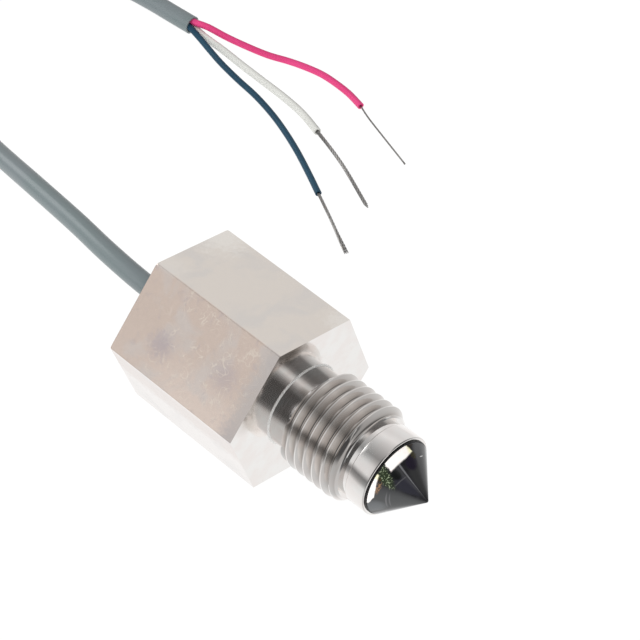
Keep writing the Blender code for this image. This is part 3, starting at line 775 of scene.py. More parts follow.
@dataclass(frozen=True)
class Component(Finish):
    """A component with a moulded or ceramic body, whose ends or leads along one axis are tinned metal."""

    body: Colour
    axis: Axis
    centre: float
    half_body: float
    roughness: float = 0.4
    metal: Colour = rgb(0.55, 0.54, 0.52)
    metal_roughness: float = 0.3
    relief: float = 0.006
    lightest: float = 1.5

    def paint(self, graph: Graph) -> Socket:
        """Build the shader.

        Args:
            graph: The material's graph.

        Returns:
            The shader's output.
        """
        place = graph.millimetres()
        along = graph.split(place)[self.axis.value]
        ends = abs(along - self.centre).rise(self.half_body, self.half_body + 0.03)
        grain = graph.noise(place, 6.0, 3.0)
        lighter = rgb(*(self.lightest * part for part in self.body[:3]))
        shade = graph.mix(grain, self.body, lighter)
        return graph.principled(
            Base_Color=graph.mix(ends, shade, self.metal),
            Metallic=ends,
            Roughness=graph.between(ends, self.roughness, self.metal_roughness),
            Normal=graph.bump(grain, self.relief, 0.6),
        )


@dataclass(frozen=True)
class Board(Finish):
    """Green solder resist over straight copper tracks, with a bare laminate edge."""

    top: float
    half_thickness: float = 0.5
    track_pitch: float = 1.27
    resist: Colour = rgb(0.010, 0.09, 0.04)
    over_track: Colour = rgb(0.02, 0.16, 0.06)
    laminate: Colour = rgb(0.30, 0.29, 0.17)
    roughness: float = 0.38
    relief: float = 0.03

    def paint(self, graph: Graph) -> Socket:
        """Build the shader.

        Args:
            graph: The material's graph.

        Returns:
            The shader's output.
        """
        place = graph.millimetres()
        x, _, z = graph.split(place)
        weave = graph.noise(place, 4.0, 2.0)
        track = ((x + graph.noise(place, 0.2, 0.0)) % self.track_pitch).band(0.35, 0.75, 0.06)
        resist = graph.mix(track, self.resist, self.over_track)
        skin = abs(z - (self.top - self.half_thickness)).rise(0.44, 0.47)
        colour = graph.mix(skin, self.laminate, resist)
        normal = graph.bump(track * 0.6 + weave * 0.4, self.relief, 0.6)
        return graph.principled(Base_Color=colour, Roughness=self.roughness, Normal=normal)


BLASTED = BlastedSteel("blasted_steel")
TURNED = TurnedSteel("turned_steel")
GLASS = SmokyGlass("smoky_glass_tip")
SEAL = Moulded("seal_rubber", rgb(0.008, 0.008, 0.009), rgb(0.016, 0.015, 0.016), 0.42)
RESIN = Moulded("cast_resin", rgb(0.014, 0.014, 0.016), rgb(0.024, 0.024, 0.027), 0.3, 1.2, 0.02)
HOLDER = Moulded("holder_moulding", rgb(0.014, 0.014, 0.015), rgb(0.022, 0.022, 0.023), 0.5, 6.0)
JACKET = Moulded("lead_jacket", rgb(0.190, 0.232, 0.238), rgb(0.206, 0.240, 0.252), 0.24, 1.6, 0.003)
STRAP = WovenStrap("strap_webbing")
TINNED = TinnedWire("tinned_strands")


# Mesh tools


def add_piece(
    name: str,
    builder: bmesh.types.BMesh,
    finishes: Sequence[Finish],
    replaced: Sequence[str],
) -> bpy.types.Object:
    """Turn a bmesh into a finished piece that rides on the sensor.

    Args:
        name: The piece's name.
        builder: Its closed mesh. It is freed.
        finishes: Its finishes, in the order of the faces' material numbers.
        replaced: The CAD nodes that it stands for.

    Returns:
        The piece.
    """
    bmesh.ops.recalc_face_normals(builder, faces=builder.faces)
    open_edges = sum(1 for edge in builder.edges if len(edge.link_faces) != 2)
    builder.faces.index_update()
    flat = [face.index for face in builder.faces if not face.smooth]
    mesh = bpy.data.meshes.new(name)
    builder.to_mesh(mesh)
    builder.free()
    obj = bpy.data.objects.new(name, mesh)
    bpy.context.scene.collection.objects.link(obj)
    for finish in finishes:
        mesh.materials.append(finish.material())
    mesh.set_sharp_from_angle(angle=math.radians(SHARP_DEG))
    # That shades every face smooth, and a flat face would bend the mirrored studio
    for index in flat:
        mesh.polygons[index].use_smooth = False
    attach(obj, BODY)
    if replaced:
        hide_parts(*replaced)
    LOG.info("%s: %d faces, %d open edges", name, len(mesh.polygons), open_edges)
    return obj


def smooth_faces(builder: bmesh.types.BMesh) -> None:
    """Shade every face smooth."""
    for face in builder.faces:
        face.smooth = True


def points_of(grown: Sequence[Any]) -> list[bmesh.types.BMVert]:
    """The vertices among what an operator made."""
    return [item for item in grown if isinstance(item, bmesh.types.BMVert)]


class Bevelled(Enum):
    """What a bevel takes off."""

    CORNERS = "VERTICES"
    EDGES = "EDGES"


def soften(builder: bmesh.types.BMesh, what: Bevelled, geom: list, offset: float, segments: int) -> None:
    """Bevel corners or edges.

    Args:
        builder: The mesh.
        what: Whether corners or edges are given.
        geom: Those corners or edges.
        offset: How far the bevel reaches.
        segments: Its number of segments.
    """
    bmesh.ops.bevel(
        builder,
        geom=geom,
        offset=offset,
        segments=segments,
        profile=0.5,
        affect=what.value,
        material=-1,
        clamp_overlap=True,
    )


def round_shape(builder: bmesh.types.BMesh, axis_z: float) -> None:
    """Finish a turned shape: merge its doubles, shade it smooth and lift it to its axis.

    Args:
        builder: The mesh, turned about the Y axis.
        axis_z: Height of the sensor's axis.
    """
    bmesh.ops.remove_doubles(builder, verts=builder.verts, dist=WELD)
    smooth_faces(builder)
    bmesh.ops.translate(builder, vec=(0, 0, axis_z), verts=builder.verts)


def spin_profile(builder: bmesh.types.BMesh, profile: Profile, steps: int, closed: bool = False) -> None:
    """Turn a profile about the Y axis.

    Args:
        builder: The mesh that gets the faces.
        profile: Pairs of a place along Y and a radius.
        steps: Faces round the turn.
        closed: Whether the last point joins the first.
    """
    points = [builder.verts.new((radius, place, 0.0)) for place, radius in profile]
    ends = points[1:] + points[:1] if closed else points[1:]
    edges = [builder.edges.new(pair) for pair in zip(points, ends)]
    bmesh.ops.spin(
        builder,
        geom=points + edges,
        cent=(0, 0, 0),
        axis=(0, 1, 0),
        angle=math.tau,
        steps=steps,
        use_merge=True,
    )


def arc(centre: tuple[float, float], radius: float, start: float, end: float, steps: int) -> list:
    """Points of a profile on an arc.

    Args:
        centre: Place along the axis and distance from it.
        radius: The arc's radius.
        start: Angle of its start, in degrees, from the axis' direction outwards.
        end: Angle of its end.
        steps: Number of stretches.

    Returns:
        Pairs of a place and a radius.
    """
    angles = [math.radians(start + (end - start) * step / steps) for step in range(steps + 1)]
    return [(centre[0] + radius * math.cos(angle), centre[1] + radius * math.sin(angle)) for angle in angles]


def smooth_route(points: Sequence[Sequence[float]], spacing: float) -> list[Vector]:
    """Places on a smooth curve through the given points.

    Args:
        points: The points, given or computed.
        spacing: About how far apart the places are.

    Returns:
        The places.
    """
    knots = [Vector(point) for point in points]
    ends = [2 * knots[0] - knots[1]] + knots + [2 * knots[-1] - knots[-2]]
    route = []
    for before, start, stop, after in zip(ends, ends[1:], ends[2:], ends[3:]):
        steps = max(1, round((stop - start).length / spacing))
        for step in range(steps):
            t = step / steps
            straight = 2 * start + (stop - before) * t
            bend = (2 * before - 5 * start + 4 * stop - after) * t**2
            twist = (3 * start - before - 3 * stop + after) * t**3
            route.append(0.5 * (straight + bend + twist))
    return route + [knots[-1]]


def route_length(route: Sequence[Vector]) -> float:
    """Length of the line through the places."""
    return sum((end - start).length for start, end in zip(route, route[1:]))


def frames_along(route: Sequence[Vector]) -> list[Matrix]:
    """Axes at each place of a route, carried along it without twist.

    Args:
        route: The places.

    Returns:
        Matrices whose x and y lie across the route, and z along it. The first x is level.
    """
    heading = (route[1] - route[0]).normalized()
    side = heading.cross(Vector((0, 0, 1))).normalized()
    frames = []
    for index, place in enumerate(route):
        before = route[max(index - 1, 0)]
        after = route[min(index + 1, len(route) - 1)]
        ahead = (after - before).normalized()
        side = heading.rotation_difference(ahead) @ side
        side = (side - side.dot(ahead) * ahead).normalized()
        heading = ahead
        axes = Matrix((side, ahead.cross(side), ahead)).transposed().to_4x4()
        frames.append(Matrix.Translation(place) @ axes)
    return frames


def sweep(builder: bmesh.types.BMesh, frames: Sequence[Matrix], radius: float, sides: int) -> list:
    """Draw a circle along a route, closed at both ends.

    Args:
        builder: The mesh that gets the faces.
        frames: The axes along the route. Their scale is the circle's.
        radius: The circle's radius.
        sides: Its number of sides.

    Returns:
        The first and the last cap.
    """
    ring = bmesh.ops.create_circle(builder, cap_ends=True, segments=sides, radius=radius, matrix=frames[0])
    first = ring["verts"][0].link_faces[0]
    edges = list(first.edges)
    for before, after in zip(frames, frames[1:]):
        grown = bmesh.ops.extrude_edge_only(builder, edges=edges)["geom"]
        points = points_of(grown)
        made = set(points)
        edges = [
            item
            for item in grown
            if isinstance(item, bmesh.types.BMEdge) and item.verts[0] in made and item.verts[1] in made
        ]
        bmesh.ops.transform(builder, matrix=after @ before.inverted(), verts=points)
    last = bmesh.ops.contextual_create(builder, geom=edges)["faces"][0]
    return [first, last]


def hollow_cap(builder: bmesh.types.BMesh, cap: bmesh.types.BMFace, wall: float, reach: Vector) -> None:
    """Sink a cap inwards, which leaves a wall round it.

    Args:
        builder: The mesh.
        cap: The flat cap.
        wall: Thickness of the wall.
        reach: How far and where the cap moves.
    """
    bmesh.ops.inset_region(builder, faces=[cap], thickness=wall, use_even_offset=True)
    grown = bmesh.ops.extrude_face_region(builder, geom=[cap])["geom"]
    bmesh.ops.translate(builder, vec=reach, verts=points_of(grown))
    bmesh.ops.delete(builder, geom=[cap], context="FACES_ONLY")


# The steel housing


@dataclass
class Housing:
    """The hexagon with its undercut, threaded shank, groove and nose, in one piece, bored right through.

    Lengths run from the sealing face, which is the hexagon's front.
    """

    steps: int = 120
    hex_length: float = 0.0223
    edge_break: float = 0.00005
    back_corner_cut: float = 0.00035
    undercut_radius: float = 0.00585
    undercut_length: float = 0.0031
    root_fillet: float = 0.00022
    thread_radius: float = 0.007
    thread_pitch: float = 0.0015
    run_out: float = 0.00025
    thread_length: float = 0.0094
    thread_chamfer: float = 0.00095
    groove_radius: float = 0.00555
    groove_length: float = 0.0009
    nose_radius: float = 0.0058
    nose_length: float = 0.00313
    nose_break: float = 0.00018
    nose_bore_radius: float = 0.0045
    shank_bore_radius: float = 0.0049
    cavity_radius: float = 0.008
    shoulder_depth: float = 0.011
    cavity_start: float = 0.0025
    cavity_break: float = 0.0002

    def __post_init__(self) -> None:
        """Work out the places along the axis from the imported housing."""
        low, high = node_box("housing")
        self.apothem = (high.z - low.z) / 2
        self.axis_z = (high.z + low.z) / 2
        self.back_y = high.y
        self.face_y = high.y - self.hex_length
        self.thread_start_y = self.face_y - self.undercut_length
        self.thread_end_y = self.thread_start_y - self.thread_length
        self.groove_end_y = self.thread_end_y - self.groove_length
        self.nose_end_y = self.groove_end_y - self.nose_length
        # The run-out is a short cone from the undercut up to the crests
        self.run_out_y = self.thread_start_y + self.run_out
        self.chamfer_foot = self.thread_radius - self.thread_chamfer

    def build(self) -> bpy.types.Object:
        """Build the piece.

        Returns:
            The housing.
        """
        builder = bmesh.new()
        self._hexagon(builder)
        spin_profile(builder, self._undercut_profile(), self.steps)
        self._thread(builder)
        spin_profile(builder, self._nose_and_bore_profile(), self.steps)
        bmesh.ops.remove_doubles(builder, verts=builder.verts, dist=WELD)
        self._close_face(builder, self.face_y)
        self._close_face(builder, self.back_y)
        self._sort_faces(builder)
        bmesh.ops.translate(builder, vec=(0, 0, self.axis_z), verts=builder.verts)
        return add_piece("steel_housing", builder, (BLASTED, TURNED), ["housing"])

    def _hexagon(self, builder: bmesh.types.BMesh) -> None:
        """The six flats, with the back corners turned off and a crisp front. Both ends stay open.

        Args:
            builder: The empty mesh.
        """
        upright = Matrix.Rotation(-math.pi / 2, 4, "X") @ Matrix.Rotation(math.pi / 6, 4, "Z")
        corner = self.apothem / math.cos(math.pi / 6)
        bmesh.ops.create_circle(builder, cap_ends=True, segments=6, radius=corner, matrix=upright)
        bmesh.ops.translate(builder, vec=(0, self.face_y, 0), verts=builder.verts)
        grown = bmesh.ops.extrude_face_region(builder, geom=builder.faces[:])["geom"]
        back = points_of(grown)
        bmesh.ops.translate(builder, vec=(0, self.hex_length, 0), verts=back)
        soften(builder, Bevelled.CORNERS, back, self.back_corner_cut, 2)
        behind_front = self.face_y + WELD
        edges = [edge for edge in builder.edges if any(point.co.y > behind_front for point in edge.verts)]
        soften(builder, Bevelled.EDGES, edges, self.edge_break, 2)
        builder.normal_update()
        ends = [face for face in builder.faces if abs(face.normal.y) > ACROSS]
        bmesh.ops.delete(builder, geom=ends, context="FACES_ONLY")

    def _undercut_profile(self) -> Profile:
        """From the sealing face over the fillet to the start of the run-out.

        Returns:
            Pairs of a place along Y and a radius.
        """
        centre = (self.face_y - self.root_fillet, self.undercut_radius + self.root_fillet)
        fillet = arc(centre, self.root_fillet, 0.0, -90.0, 5)
        return fillet + [(self.run_out_y, self.undercut_radius)]

    def _thread_profile(self) -> Profile:
        """One pitch of the metric thread: a narrow crest, two 60 degree flanks and a rounded root.

        Returns:
            Pairs of a place along Y and a radius.
        """
        # The shares of the pitch are those of the metric thread form
        sharp_height = self.thread_pitch * math.sqrt(3) / 2
        depth = sharp_height * 17 / 24
        root_round = sharp_height / 6
        half_crest = self.thread_pitch / 16
        root_centre = (self.thread_pitch / 2, self.thread_radius - depth + root_round)
        root = arc(root_centre, root_round, -150.0, -30.0, 4)
        crest_end = (half_crest, self.thread_radius)
        crest_start = (self.thread_pitch - half_crest, self.thread_radius)
        shares = (0.25, 0.5, 0.75)
        falling = [self._between(crest_end, root[0], share) for share in shares]
        rising = [self._between(root[-1], crest_start, share) for share in shares]
        return [(0.0, self.thread_radius), crest_end] + falling + root + rising + [crest_start]

    @staticmethod
    def _between(first: Sequence[float], second: Sequence[float], share: float) -> tuple[float, ...]:
        """A point of a profile between two others."""
        return tuple(start + (stop - start) * share for start, stop in zip(first, second))

    def _envelope(self, place: float) -> float:
        """The radius that the thread is turned down to.

        Args:
            place: A place along Y.

        Returns:
            The largest radius there.
        """
        run_out = (self.run_out_y - place) / (self.run_out_y - self.thread_start_y)
        on_run_out = self.undercut_radius + run_out * (self.thread_radius - self.undercut_radius)
        on_chamfer = self.chamfer_foot + (place - self.thread_end_y)
        return min(self.thread_radius, on_run_out, on_chamfer)

    def _thread(self, builder: bmesh.types.BMesh) -> None:
        """The helix, turned down to the chamfer and the run-out at its ends.

        Args:
            builder: The mesh that gets the faces.
        """
        turns = math.ceil((self.run_out_y - self.thread_end_y) / self.thread_pitch) + 2
        start_y = self.thread_end_y - self.thread_pitch
        profile = list(self._thread_profile()) + [(self.thread_pitch, self.thread_radius)]
        points = [builder.verts.new((radius, start_y + place, 0.0)) for place, radius in profile]
        edges = [builder.edges.new(pair) for pair in zip(points, points[1:])]
        known = set(builder.verts) - set(points)
        bmesh.ops.spin(
            builder,
            geom=points + edges,
            cent=(0, 0, 0),
            axis=(0, 1, 0),
            dvec=(0, self.thread_pitch / self.steps, 0),
            angle=math.tau * turns,
            steps=self.steps * turns,
            use_merge=False,
        )
        for point in builder.verts:
            if point in known:
                continue
            point.co.y = min(max(point.co.y, self.thread_end_y), self.run_out_y)
            radius = math.hypot(point.co.x, point.co.z)
            share = min(1.0, self._envelope(point.co.y) / radius)
            point.co.x *= share
            point.co.z *= share

    def _nose_and_bore_profile(self) -> Profile:
        """From the end of the thread over groove and nose, then back through the two bores.

        Returns:
            Pairs of a place along Y and a radius.
        """
        edge = self.nose_break
        nose_rear = arc((self.groove_end_y - edge, self.nose_radius - edge), edge, 0.0, 90.0, 3)
        nose_front = arc((self.nose_end_y + edge, self.nose_radius - edge), edge, 90.0, 180.0, 3)
        shoulder_y = self.face_y - self.shoulder_depth
        cavity_y = self.face_y + self.cavity_start
        return (
            [(self.thread_end_y, self.chamfer_foot), (self.thread_end_y, self.groove_radius)]
            + [(self.groove_end_y, self.groove_radius)]
            + nose_rear
            + nose_front
            + [(self.nose_end_y, self.nose_bore_radius), (shoulder_y, self.nose_bore_radius)]
            + [(shoulder_y, self.shank_bore_radius), (cavity_y, self.shank_bore_radius)]
            + [(cavity_y, self.cavity_radius), (self.back_y - self.cavity_break, self.cavity_radius)]
            + [(self.back_y, self.cavity_radius + self.cavity_break)]
        )

    @staticmethod
    def _close_face(builder: bmesh.types.BMesh, place: float) -> None:
        """Fill the flat face between the hexagon's outline and the round one inside it.

        Args:
            builder: The mesh.
            place: Where the face lies along Y.
        """
        rims = [
            edge
            for edge in builder.edges
            if len(edge.link_faces) == 1 and all(abs(point.co.y - place) < WELD for point in edge.verts)
        ]
        bmesh.ops.triangle_fill(builder, use_beauty=True, use_dissolve=False, edges=rims)

    def _sort_faces(self, builder: bmesh.types.BMesh) -> None:
        """Shade round faces smooth, and mark what is turned bright.

        Args:
            builder: The whole housing's mesh.
        """
        builder.normal_update()
        for face in builder.faces:
            middle = face.calc_center_median()
            from_axis = math.hypot(middle.x, middle.z)
            end_face = abs(face.normal.y) > ACROSS
            on_flat = abs(middle.dot(face.normal)) > self.apothem - WELD and abs(face.normal.y) < 0.001
            face.smooth = not (end_face or on_flat)
            turned = middle.y < self.face_y + WELD or from_axis < self.cavity_radius + self.cavity_break
            face.material_index = 1 if turned or end_face else 0


# The glass tip and its seal


@dataclass
class GlassTip:
    """The glass cone on its stem, and the black seal that it is bonded on."""

    steps: int = 96
    cone_radius: float = 0.0053
    rim: float = 0.00013
    apex_flat: float = 0.00012
    stem_radius: float = 0.0042
    seal_radius: float = 0.00542
    seal_round: float = 0.00008

    def __post_init__(self) -> None:
        """Read where the glass lies in the frame."""
        low, high = node_box("glass_tip")
        self.axis_z = (low.z + high.z) / 2
        self.apex_y = low.y
        self.stem_end_y = high.y
        self.base_y = low.y + self.cone_radius - self.apex_flat + self.rim
        self.nose_end_y = node_box("housing")[0].y

    def build(self) -> list[bpy.types.Object]:
        """Build both pieces.

        Returns:
            The glass and the seal.
        """
        glass = bmesh.new()
        spin_profile(glass, self._glass_profile(), self.steps)
        seal = bmesh.new()
        spin_profile(seal, self._seal_profile(), self.steps, closed=True)
        for builder in (glass, seal):
            round_shape(builder, self.axis_z)
        return [
            add_piece("glass_cone", glass, (GLASS,), ["glass_tip"]),
            add_piece("bonded_seal", seal, (SEAL,), ["tip_seal"]),
        ]

    def _glass_profile(self) -> Profile:
        """The slightly blunt 90 degree cone, its rim and the stem behind it.

        Returns:
            Pairs of a place along Y and a radius.
        """
        sharp_y = self.apex_y - self.apex_flat
        blunt = self.apex_flat / (math.sqrt(2) - 1)
        centre = (sharp_y + math.sqrt(2) * blunt, 0.0)
        apex = arc(centre, blunt, 180.0, 135.0, 4)
        stem = [(self.base_y, self.stem_radius), (self.stem_end_y, self.stem_radius), (self.stem_end_y, 0.0)]
        return apex + [(self.base_y - self.rim, self.cone_radius), (self.base_y, self.cone_radius)] + stem

    def _seal_profile(self) -> Profile:
        """A thin ring from the nose to the glass, rounded outside.

        Returns:
            Pairs of a place along Y and a radius.
        """
        edge = self.seal_round
        outer = arc((self.nose_end_y - edge, self.seal_radius - edge), edge, 0.0, 90.0, 3)
        front = arc((self.base_y + edge, self.seal_radius - edge), edge, 90.0, 180.0, 3)
        return outer + front + [(self.base_y, self.stem_radius), (self.nose_end_y, self.stem_radius)]


# The resin that closes the back


@dataclass
class Potting:
    """The cast resin plug, which creeps up a little at the wall and at the lead."""

    steps: int = 96
    radius: float = 0.00799
    lead_radius: float = 0.0015
    pocket_radius: float = 0.0029
    jacket_end_y: float = JACKET_START[1]
    creep: float = 0.00025
    lead_creeps: float = 2.0
    wall_creeps: float = 3.0
    creep_shares: tuple = (0.0, 0.4, 0.7, 1.0)

    def build(self) -> bpy.types.Object:
        """Build the plug.

        Returns:
            The piece.
        """
        low, high = node_box("potting")
        rises = [(high.y + self.creep * share**2, self.creep * (1 - share)) for share in self.creep_shares]
        at_lead = [(place, self.lead_radius + self.lead_creeps * away) for place, away in reversed(rises)]
        at_wall = [(place, self.radius - self.wall_creeps * away) for place, away in rises]
        inside = [
            (low.y, self.radius),
            (low.y, self.pocket_radius),
            (self.jacket_end_y, self.pocket_radius),
            (self.jacket_end_y, self.lead_radius),
        ]
        builder = bmesh.new()
        spin_profile(builder, at_lead + at_wall + inside, self.steps, closed=True)
        round_shape(builder, (low.z + high.z) / 2)
        return add_piece("resin_plug", builder, (RESIN,), ["potting"])


# The lead


@dataclass
class Lead:
    """The jacketed lead: straight out of the resin, down to the surface, one tied coil and the tail."""

    diameter: float = 0.003
    length: float = 0.5
    wall: float = 0.00026
    recess: float = 0.002
    sides: int = 24
    spacing: float = 0.0012
    inner_end: tuple = JACKET_START
    exit: tuple = (0.0, 0.02219, 0.0110)
    run: tuple = (
        (0.0000, 0.0300, 0.0110),
        (0.0006, 0.0375, 0.0109),
        (0.0018, 0.0450, 0.0105),
        (0.0035, 0.0550, 0.0095),
        (0.0055, 0.0650, 0.0081),
        (0.0082, 0.0750, 0.0063),
        (0.0114, 0.0850, 0.0045),
        (0.0145, 0.0950, 0.0030),
        (0.0171, 0.1040, 0.0022),
        (0.0192, 0.1120, 0.0021),
        (0.0204, 0.1190, 0.0022),
    )
    tail: tuple = (
        (0.0543, 0.1240, 0.0050),
        (0.0541, 0.1180, 0.0036),
        (0.0549, 0.1110, 0.0022),
        (0.0568, 0.1040, 0.0016),
        (0.0590, 0.0970, 0.00153),
        (0.0600, 0.0910, 0.00152),
        (0.0604, 0.0865, 0.00152),
        JACKET_END,
    )
    coil_centre: tuple = (0.0374, 0.1300)
    coil_radius: float = 0.0154
    coil_turns: float = 3.5
    coil_step_deg: float = 20.0
    low_z: float = 0.0022
    high_z: float = 0.0052
    inwards_deg: tuple = (300.0, 360.0)
    upwards_deg: tuple = (600.0, 660.0)
    outwards_deg: tuple = (900.0, 1010.0)

    def coil_place(self, turned: float) -> tuple[float, float, float]:
        """A point of the coil.

        Two turns lie on the surface, the outer one first, and the last two lie on them, the inner one first.

        Args:
            turned: Degrees since the lead entered the coil at its left.

        Returns:
            The point.
        """
        half = self.diameter / 2
        inwards = ease(turned, *self.inwards_deg)
        upwards = ease(turned, *self.upwards_deg)
        outwards = ease(turned, *self.outwards_deg)
        radius = self.coil_radius + half - 2 * half * inwards + 2 * half * outwards
        # Where it passes over the middle, the lead sinks a little between the two turns under it
        sinks = 4 * outwards * (1 - outwards) * half * (2 - math.sqrt(3))
        height = self.low_z + (self.high_z - self.low_z) * upwards - sinks
        angle = math.radians(180.0 - turned)
        x = self.coil_centre[0] + radius * math.cos(angle)
        y = self.coil_centre[1] + radius * math.sin(angle)
        return (x, y, height)

    def path(self) -> list[Vector]:
        """The whole route of the jacket, from inside the resin to its stripped end.

        Returns:
            Its places.
        """
        steps = round(self.coil_turns * 360 / self.coil_step_deg)
        coil = [self.coil_place(step * self.coil_step_deg) for step in range(steps + 1)]
        points = [self.inner_end, self.exit, *self.run, *coil, *self.tail]
        return smooth_route(points, self.spacing)

    def build(self, tie: bpy.types.Object) -> bpy.types.Object:
        """Args:
            tie: The strap round its coil. Not used.

        Returns:
            The jacket.
        """
        route = self.path()
        frames = frames_along(route)
        builder = bmesh.new()
        _, cap = sweep(builder, frames, self.diameter / 2, self.sides)
        backwards = (route[-2] - route[-1]).normalized() * self.recess
        hollow_cap(builder, cap, self.wall, backwards)
        smooth_faces(builder)
        replaced = ["cable_inner_end", "cable_run", "cable_coil", "cable_tail"]
        jacket = add_piece("lead_jacket", builder, (JACKET,), replaced)
        LOG.info("lead: %.4f m", route_length(route))
        return jacket


def ease(value: float, start: float, end: float) -> float:
    """A smooth step from 0 at start to 1 at end."""
    share = min(1.0, max(0.0, (value - start) / (end - start)))
    return share * share * (3 - 2 * share)


@dataclass
class Tie:
    """The soft strap that holds the coil's turns together."""

    thickness: float = 0.0004
    width: float = 0.003
    half_coil: float = 0.00315
    direction_deg: float = 60.0
    rounding: float = 0.0013

    def build(self, lead: Lead) -> bpy.types.Object:
        """Build the strap.

        Args:
            lead: The lead whose coil it holds.

        Returns:
            The piece.
        """
        top = node_box("coil_tie")[1].z
        half = self.half_coil + self.thickness
        builder = bmesh.new()
        size = Matrix.Diagonal((2 * half, top, 1.0, 1.0))
        bmesh.ops.create_grid(builder, x_segments=1, y_segments=1, size=0.5, matrix=size)
        soften(builder, Bevelled.CORNERS, builder.verts[:], self.rounding, 5)
        outline = builder.faces[:]
        rim = builder.edges[:]
        bmesh.ops.delete(builder, geom=outline, context="FACES_ONLY")
        grown = bmesh.ops.extrude_edge_only(builder, edges=rim)["geom"]
        bmesh.ops.translate(builder, vec=(0, 0, self.width), verts=points_of(grown))
        bmesh.ops.recalc_face_normals(builder, faces=builder.faces)
        bmesh.ops.solidify(builder, geom=builder.faces[:], thickness=self.thickness)
        upright = Matrix.Rotation(math.pi / 2, 4, "X") @ Matrix.Translation((0, top / 2, -self.width / 2))
        outwards = Matrix.Rotation(math.radians(self.direction_deg), 4, "Z")
        outwards = outwards @ Matrix.Translation((lead.coil_radius, 0, 0))
        bmesh.ops.transform(
            builder,
            matrix=Matrix.Translation((*lead.coil_centre, 0)) @ outwards @ upright,
            verts=builder.verts,
        )
        smooth_faces(builder)
        return add_piece("coil_strap", builder, (STRAP,), ["coil_tie"])


class Core(Enum):
    """The three wires of the lead."""

    RED = "red"
    WHITE = "white"
    BLUE = "blue"


@dataclass
class Wire:
    """One insulated wire that leaves the jacket, with its bare twisted end."""

    core: Core
    finish: Finish
    length: float
    diameter: float
    angle_deg: float
    route: tuple
    bare_route: tuple
    bare_diameter: float
    lay_length: float
    splay: float = 0.0
    jacket_inside: float = 0.00122
    wall: float = 0.00018
    starts_inside: float = 0.0016
    sides: int = 16
    spacing: float = 0.0006
    strands: int = 6
    strand_sides: int = 8
    steps_a_lay: int = 14
    spread_from: float = 0.55
    spread_to: float = 0.95
    flattened: float = 0.45
    jacket_end: tuple = JACKET_END

    def insulation_route(self) -> list[Vector]:
        """From inside the jacket to where the insulation is cut.

        Returns:
            The places of its route.
        """
        angle = math.radians(self.angle_deg)
        off_centre = self.jacket_inside - self.diameter / 2
        across = Vector((off_centre * math.cos(angle), 0.0, off_centre * math.sin(angle)))
        end = Vector(self.jacket_end) + across
        inside = end + Vector((0.0, self.starts_inside, 0.0))
        outside = end - Vector((0.0, self.wall, 0.0))
        return smooth_route([inside, outside, *self.route], self.spacing)

    def build(self) -> list[bpy.types.Object]:
        """Returns:
            Both pieces.
        """
        route = self.insulation_route()
        builder = bmesh.new()
        _, cap = sweep(builder, frames_along(route), self.diameter / 2, self.sides)
        backwards = (route[-2] - route[-1]).normalized() * self.wall
        hollow_cap(builder, cap, self.wall, backwards)
        smooth_faces(builder)
        colour = self.core.value
        insulation = add_piece(
            f"insulation_{colour}", builder, (self.finish,), [f"wire_{colour}"]
        )
        strands = self._build_strands(route)
        LOG.info("%s wire: %.4f m", colour, route_length(route))
        return [insulation, strands]

    def _build_strands(self, insulation: Sequence[Vector]) -> bpy.types.Object:
        """The bare strands, laid round each other in a helix.

        Args:
            insulation: The route of the insulation that they come out of.

        Returns:
            The piece.
        """
        strand_radius = self.bare_diameter / 6
        points = [insulation[-1] + (insulation[-2] - insulation[-1]).normalized() * self.wall]
        points += [insulation[-1], *self.bare_route]
        route = smooth_route(points, self.lay_length / self.steps_a_lay)
        frames = frames_along(route)
        total = route_length(route)
        builder = bmesh.new()
        for index in range(self.strands + 1):
            places = []
            travelled = 0.0
            for number, place_frame in enumerate(frames):
                if number:
                    travelled += (route[number] - route[number - 1]).length
                spread = self.splay * ease(travelled / total, self.spread_from, self.spread_to)
                reach = 0.0 if index == self.strands else 2 * strand_radius
                angle = math.tau * (index / self.strands + travelled / self.lay_length)
                across = reach * (1 + spread) * math.cos(angle)
                upwards = reach * (1 - self.flattened * spread) * math.sin(angle)
                offset = (across, upwards, 0.0)
                places.append(place_frame @ Vector(offset))
            # Each strand was cut a little short of the next one
            short = index % 3
            sweep(builder, frames_along(places[: len(places) - short]), strand_radius, self.strand_sides)
        smooth_faces(builder)
        colour = self.core.value
        return add_piece(f"bare_{colour}", builder, (TINNED,), [f"strands_{colour}"])


